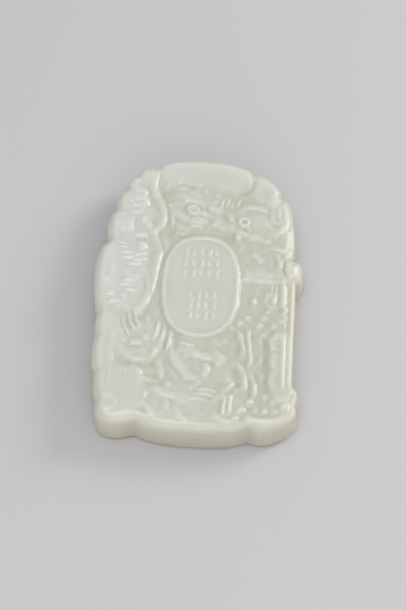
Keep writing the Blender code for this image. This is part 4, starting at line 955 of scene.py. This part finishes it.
def cloud_and_shade_group():
    group = bpy.data.node_groups.new("cloudy_stone_and_painted_shade", "ShaderNodeTree")
    for name in ("Milky", "Green", "Side shade"):
        group.interface.new_socket(name=name, in_out="INPUT", socket_type="NodeSocketColor")
    for name in ("Size", "Low", "Ground", "Face"):
        group.interface.new_socket(name=name, in_out="INPUT", socket_type="NodeSocketFloat")
    group.interface.new_socket(name="Slant", in_out="INPUT", socket_type="NodeSocketVector")
    group.interface.new_socket(name="Color", in_out="OUTPUT", socket_type="NodeSocketColor")
    group.interface.new_socket(name="Mask", in_out="OUTPUT", socket_type="NodeSocketFloat")
    nodes, links = group.nodes, group.links
    given, result = nodes.new("NodeGroupInput"), nodes.new("NodeGroupOutput")
    place = nodes.new("ShaderNodeTexCoord")
    cloud = nodes.new("ShaderNodeTexNoise")
    set_inputs(cloud, {"Detail": CLOUD_DETAIL})
    links.new(place.outputs["Object"], cloud.inputs["Vector"])
    links.new(given.outputs["Size"], cloud.inputs["Scale"])
    apart = nodes.new("ShaderNodeSeparateXYZ")
    links.new(place.outputs["Object"], apart.inputs["Vector"])

    def soft_step(value, start, stop):
        step = nodes.new("ShaderNodeMapRange")
        step.interpolation_type = "SMOOTHSTEP"
        links.new(value, step.inputs["Value"])
        for socket, amount in (("From Min", start), ("From Max", stop)):
            if isinstance(amount, float):
                step.inputs[socket].default_value = amount
            else:
                links.new(amount, step.inputs[socket])
        return step.outputs["Result"]

    def mixed(factor, first, second):
        mix = nodes.new("ShaderNodeMix")
        mix.data_type = "RGBA"
        for socket, source in (("Factor", factor), ("A", first), ("B", second)):
            links.new(source, mix.inputs[socket])
        return mix.outputs["Result"]

    def added(value, amount, base):
        total = nodes.new("ShaderNodeMath")
        total.operation = "MULTIPLY_ADD"
        total.inputs[1].default_value = amount
        links.new(value, total.inputs[0])
        links.new(base, total.inputs[2])
        return total.outputs["Value"]

    patches = soft_step(cloud.outputs["Fac"], *CLOUD_RANGE)
    # painted shade: the low ground between the carved forms is made darker and greener
    recess_shade = soft_step(apart.outputs["Z"], given.outputs["Face"], given.outputs["Ground"])
    # painted shade: the side wall is made darker and warmer towards the back
    side = soft_step(apart.outputs["Z"], given.outputs["Ground"], given.outputs["Low"])
    slant = nodes.new("ShaderNodeVectorMath")
    slant.operation = "DOT_PRODUCT"
    links.new(place.outputs["Object"], slant.inputs[0])
    links.new(given.outputs["Slant"], slant.inputs[1])
    # the painted shade of the low ground and a slant, greener towards the right and the bottom, join the
    # patches
    with_recess_shade = added(recess_shade, RECESS_SHADE_SHARE, slant.outputs["Value"])
    greenness = soft_step(added(patches, CLOUD_SHARE, with_recess_shade), *GREEN_RANGE)
    face_colour = mixed(greenness, given.outputs["Milky"], given.outputs["Green"])
    links.new(mixed(side, face_colour, given.outputs["Side shade"]), result.inputs["Color"])
    links.new(greenness, result.inputs["Mask"])
    return group


cloudy = cloud_and_shade_group()
print("Group:", cloudy.name, [item.name for item in cloudy.interface.items_tree])

# %% The stone's material
MILKY = (0.685, 0.68, 0.665, 1.0)
# the greener tone of the cloudy patches, also painted on the low ground as shade
GREEN_AND_RECESS_SHADE = (0.575, 0.58, 0.488, 1.0)
# painted shade for the side wall: darker and warmer than the face
SIDE_SHADE_COLOUR = (0.51, 0.47, 0.375, 1.0)
# below this height the side wall has all of its painted shade
SIDE_SHADE_FULL_BELOW = 0.5 * MM
LIGHT_DEPTH = 4.6 * MM
PATCH_SIZE = 60.0
SLANT = (6.0, -4.0, 0.0)
MILKY_ROUGHNESS, GREEN_ROUGHNESS = 0.24, 0.34
JADE_IOR, COLOUR_REACH = 1.6, (1.0, 0.95, 0.8)
POLISH_SCALE, POLISH_DETAIL = 900.0, 2.0
POLISH_STRENGTH, POLISH_DEPTH = 0.12, 0.05 * MM


def jade_material():
    stone = bpy.data.materials.new("pale_jade")
    stone.use_nodes = True
    nodes, links = stone.node_tree.nodes, stone.node_tree.links
    shader = nodes["Principled BSDF"]
    # the group's colour is cloudy patches plus painted shade on the low ground and on the side wall
    clouds = nodes.new("ShaderNodeGroup")
    clouds.node_tree = cloudy
    set_inputs(clouds, {"Milky": MILKY, "Green": GREEN_AND_RECESS_SHADE, "Side shade": SIDE_SHADE_COLOUR, "Size": PATCH_SIZE,
                        "Low": SIDE_SHADE_FULL_BELOW, "Ground": THICKNESS - RELIEF_DEPTH * MM,
                        "Face": THICKNESS, "Slant": SLANT})
    links.new(clouds.outputs["Color"], shader.inputs["Base Color"])
    gloss = nodes.new("ShaderNodeMapRange")
    set_inputs(gloss, {"To Min": MILKY_ROUGHNESS, "To Max": GREEN_ROUGHNESS})
    links.new(clouds.outputs["Mask"], gloss.inputs["Value"])
    links.new(gloss.outputs["Result"], shader.inputs["Roughness"])
    set_inputs(shader, {"IOR": JADE_IOR, "Subsurface Weight": 1.0,
                        "Subsurface Radius": COLOUR_REACH, "Subsurface Scale": LIGHT_DEPTH})
    place = nodes.new("ShaderNodeTexCoord")
    polish = nodes.new("ShaderNodeTexNoise")
    set_inputs(polish, {"Scale": POLISH_SCALE, "Detail": POLISH_DETAIL})
    links.new(place.outputs["Object"], polish.inputs["Vector"])
    bump = nodes.new("ShaderNodeBump")
    set_inputs(bump, {"Strength": POLISH_STRENGTH, "Distance": POLISH_DEPTH})
    links.new(polish.outputs["Fac"], bump.inputs["Height"])
    links.new(bump.outputs["Normal"], shader.inputs["Normal"])
    return stone


stone_mesh.materials.append(jade_material())
print("Material:", stone_mesh.materials[0].name)
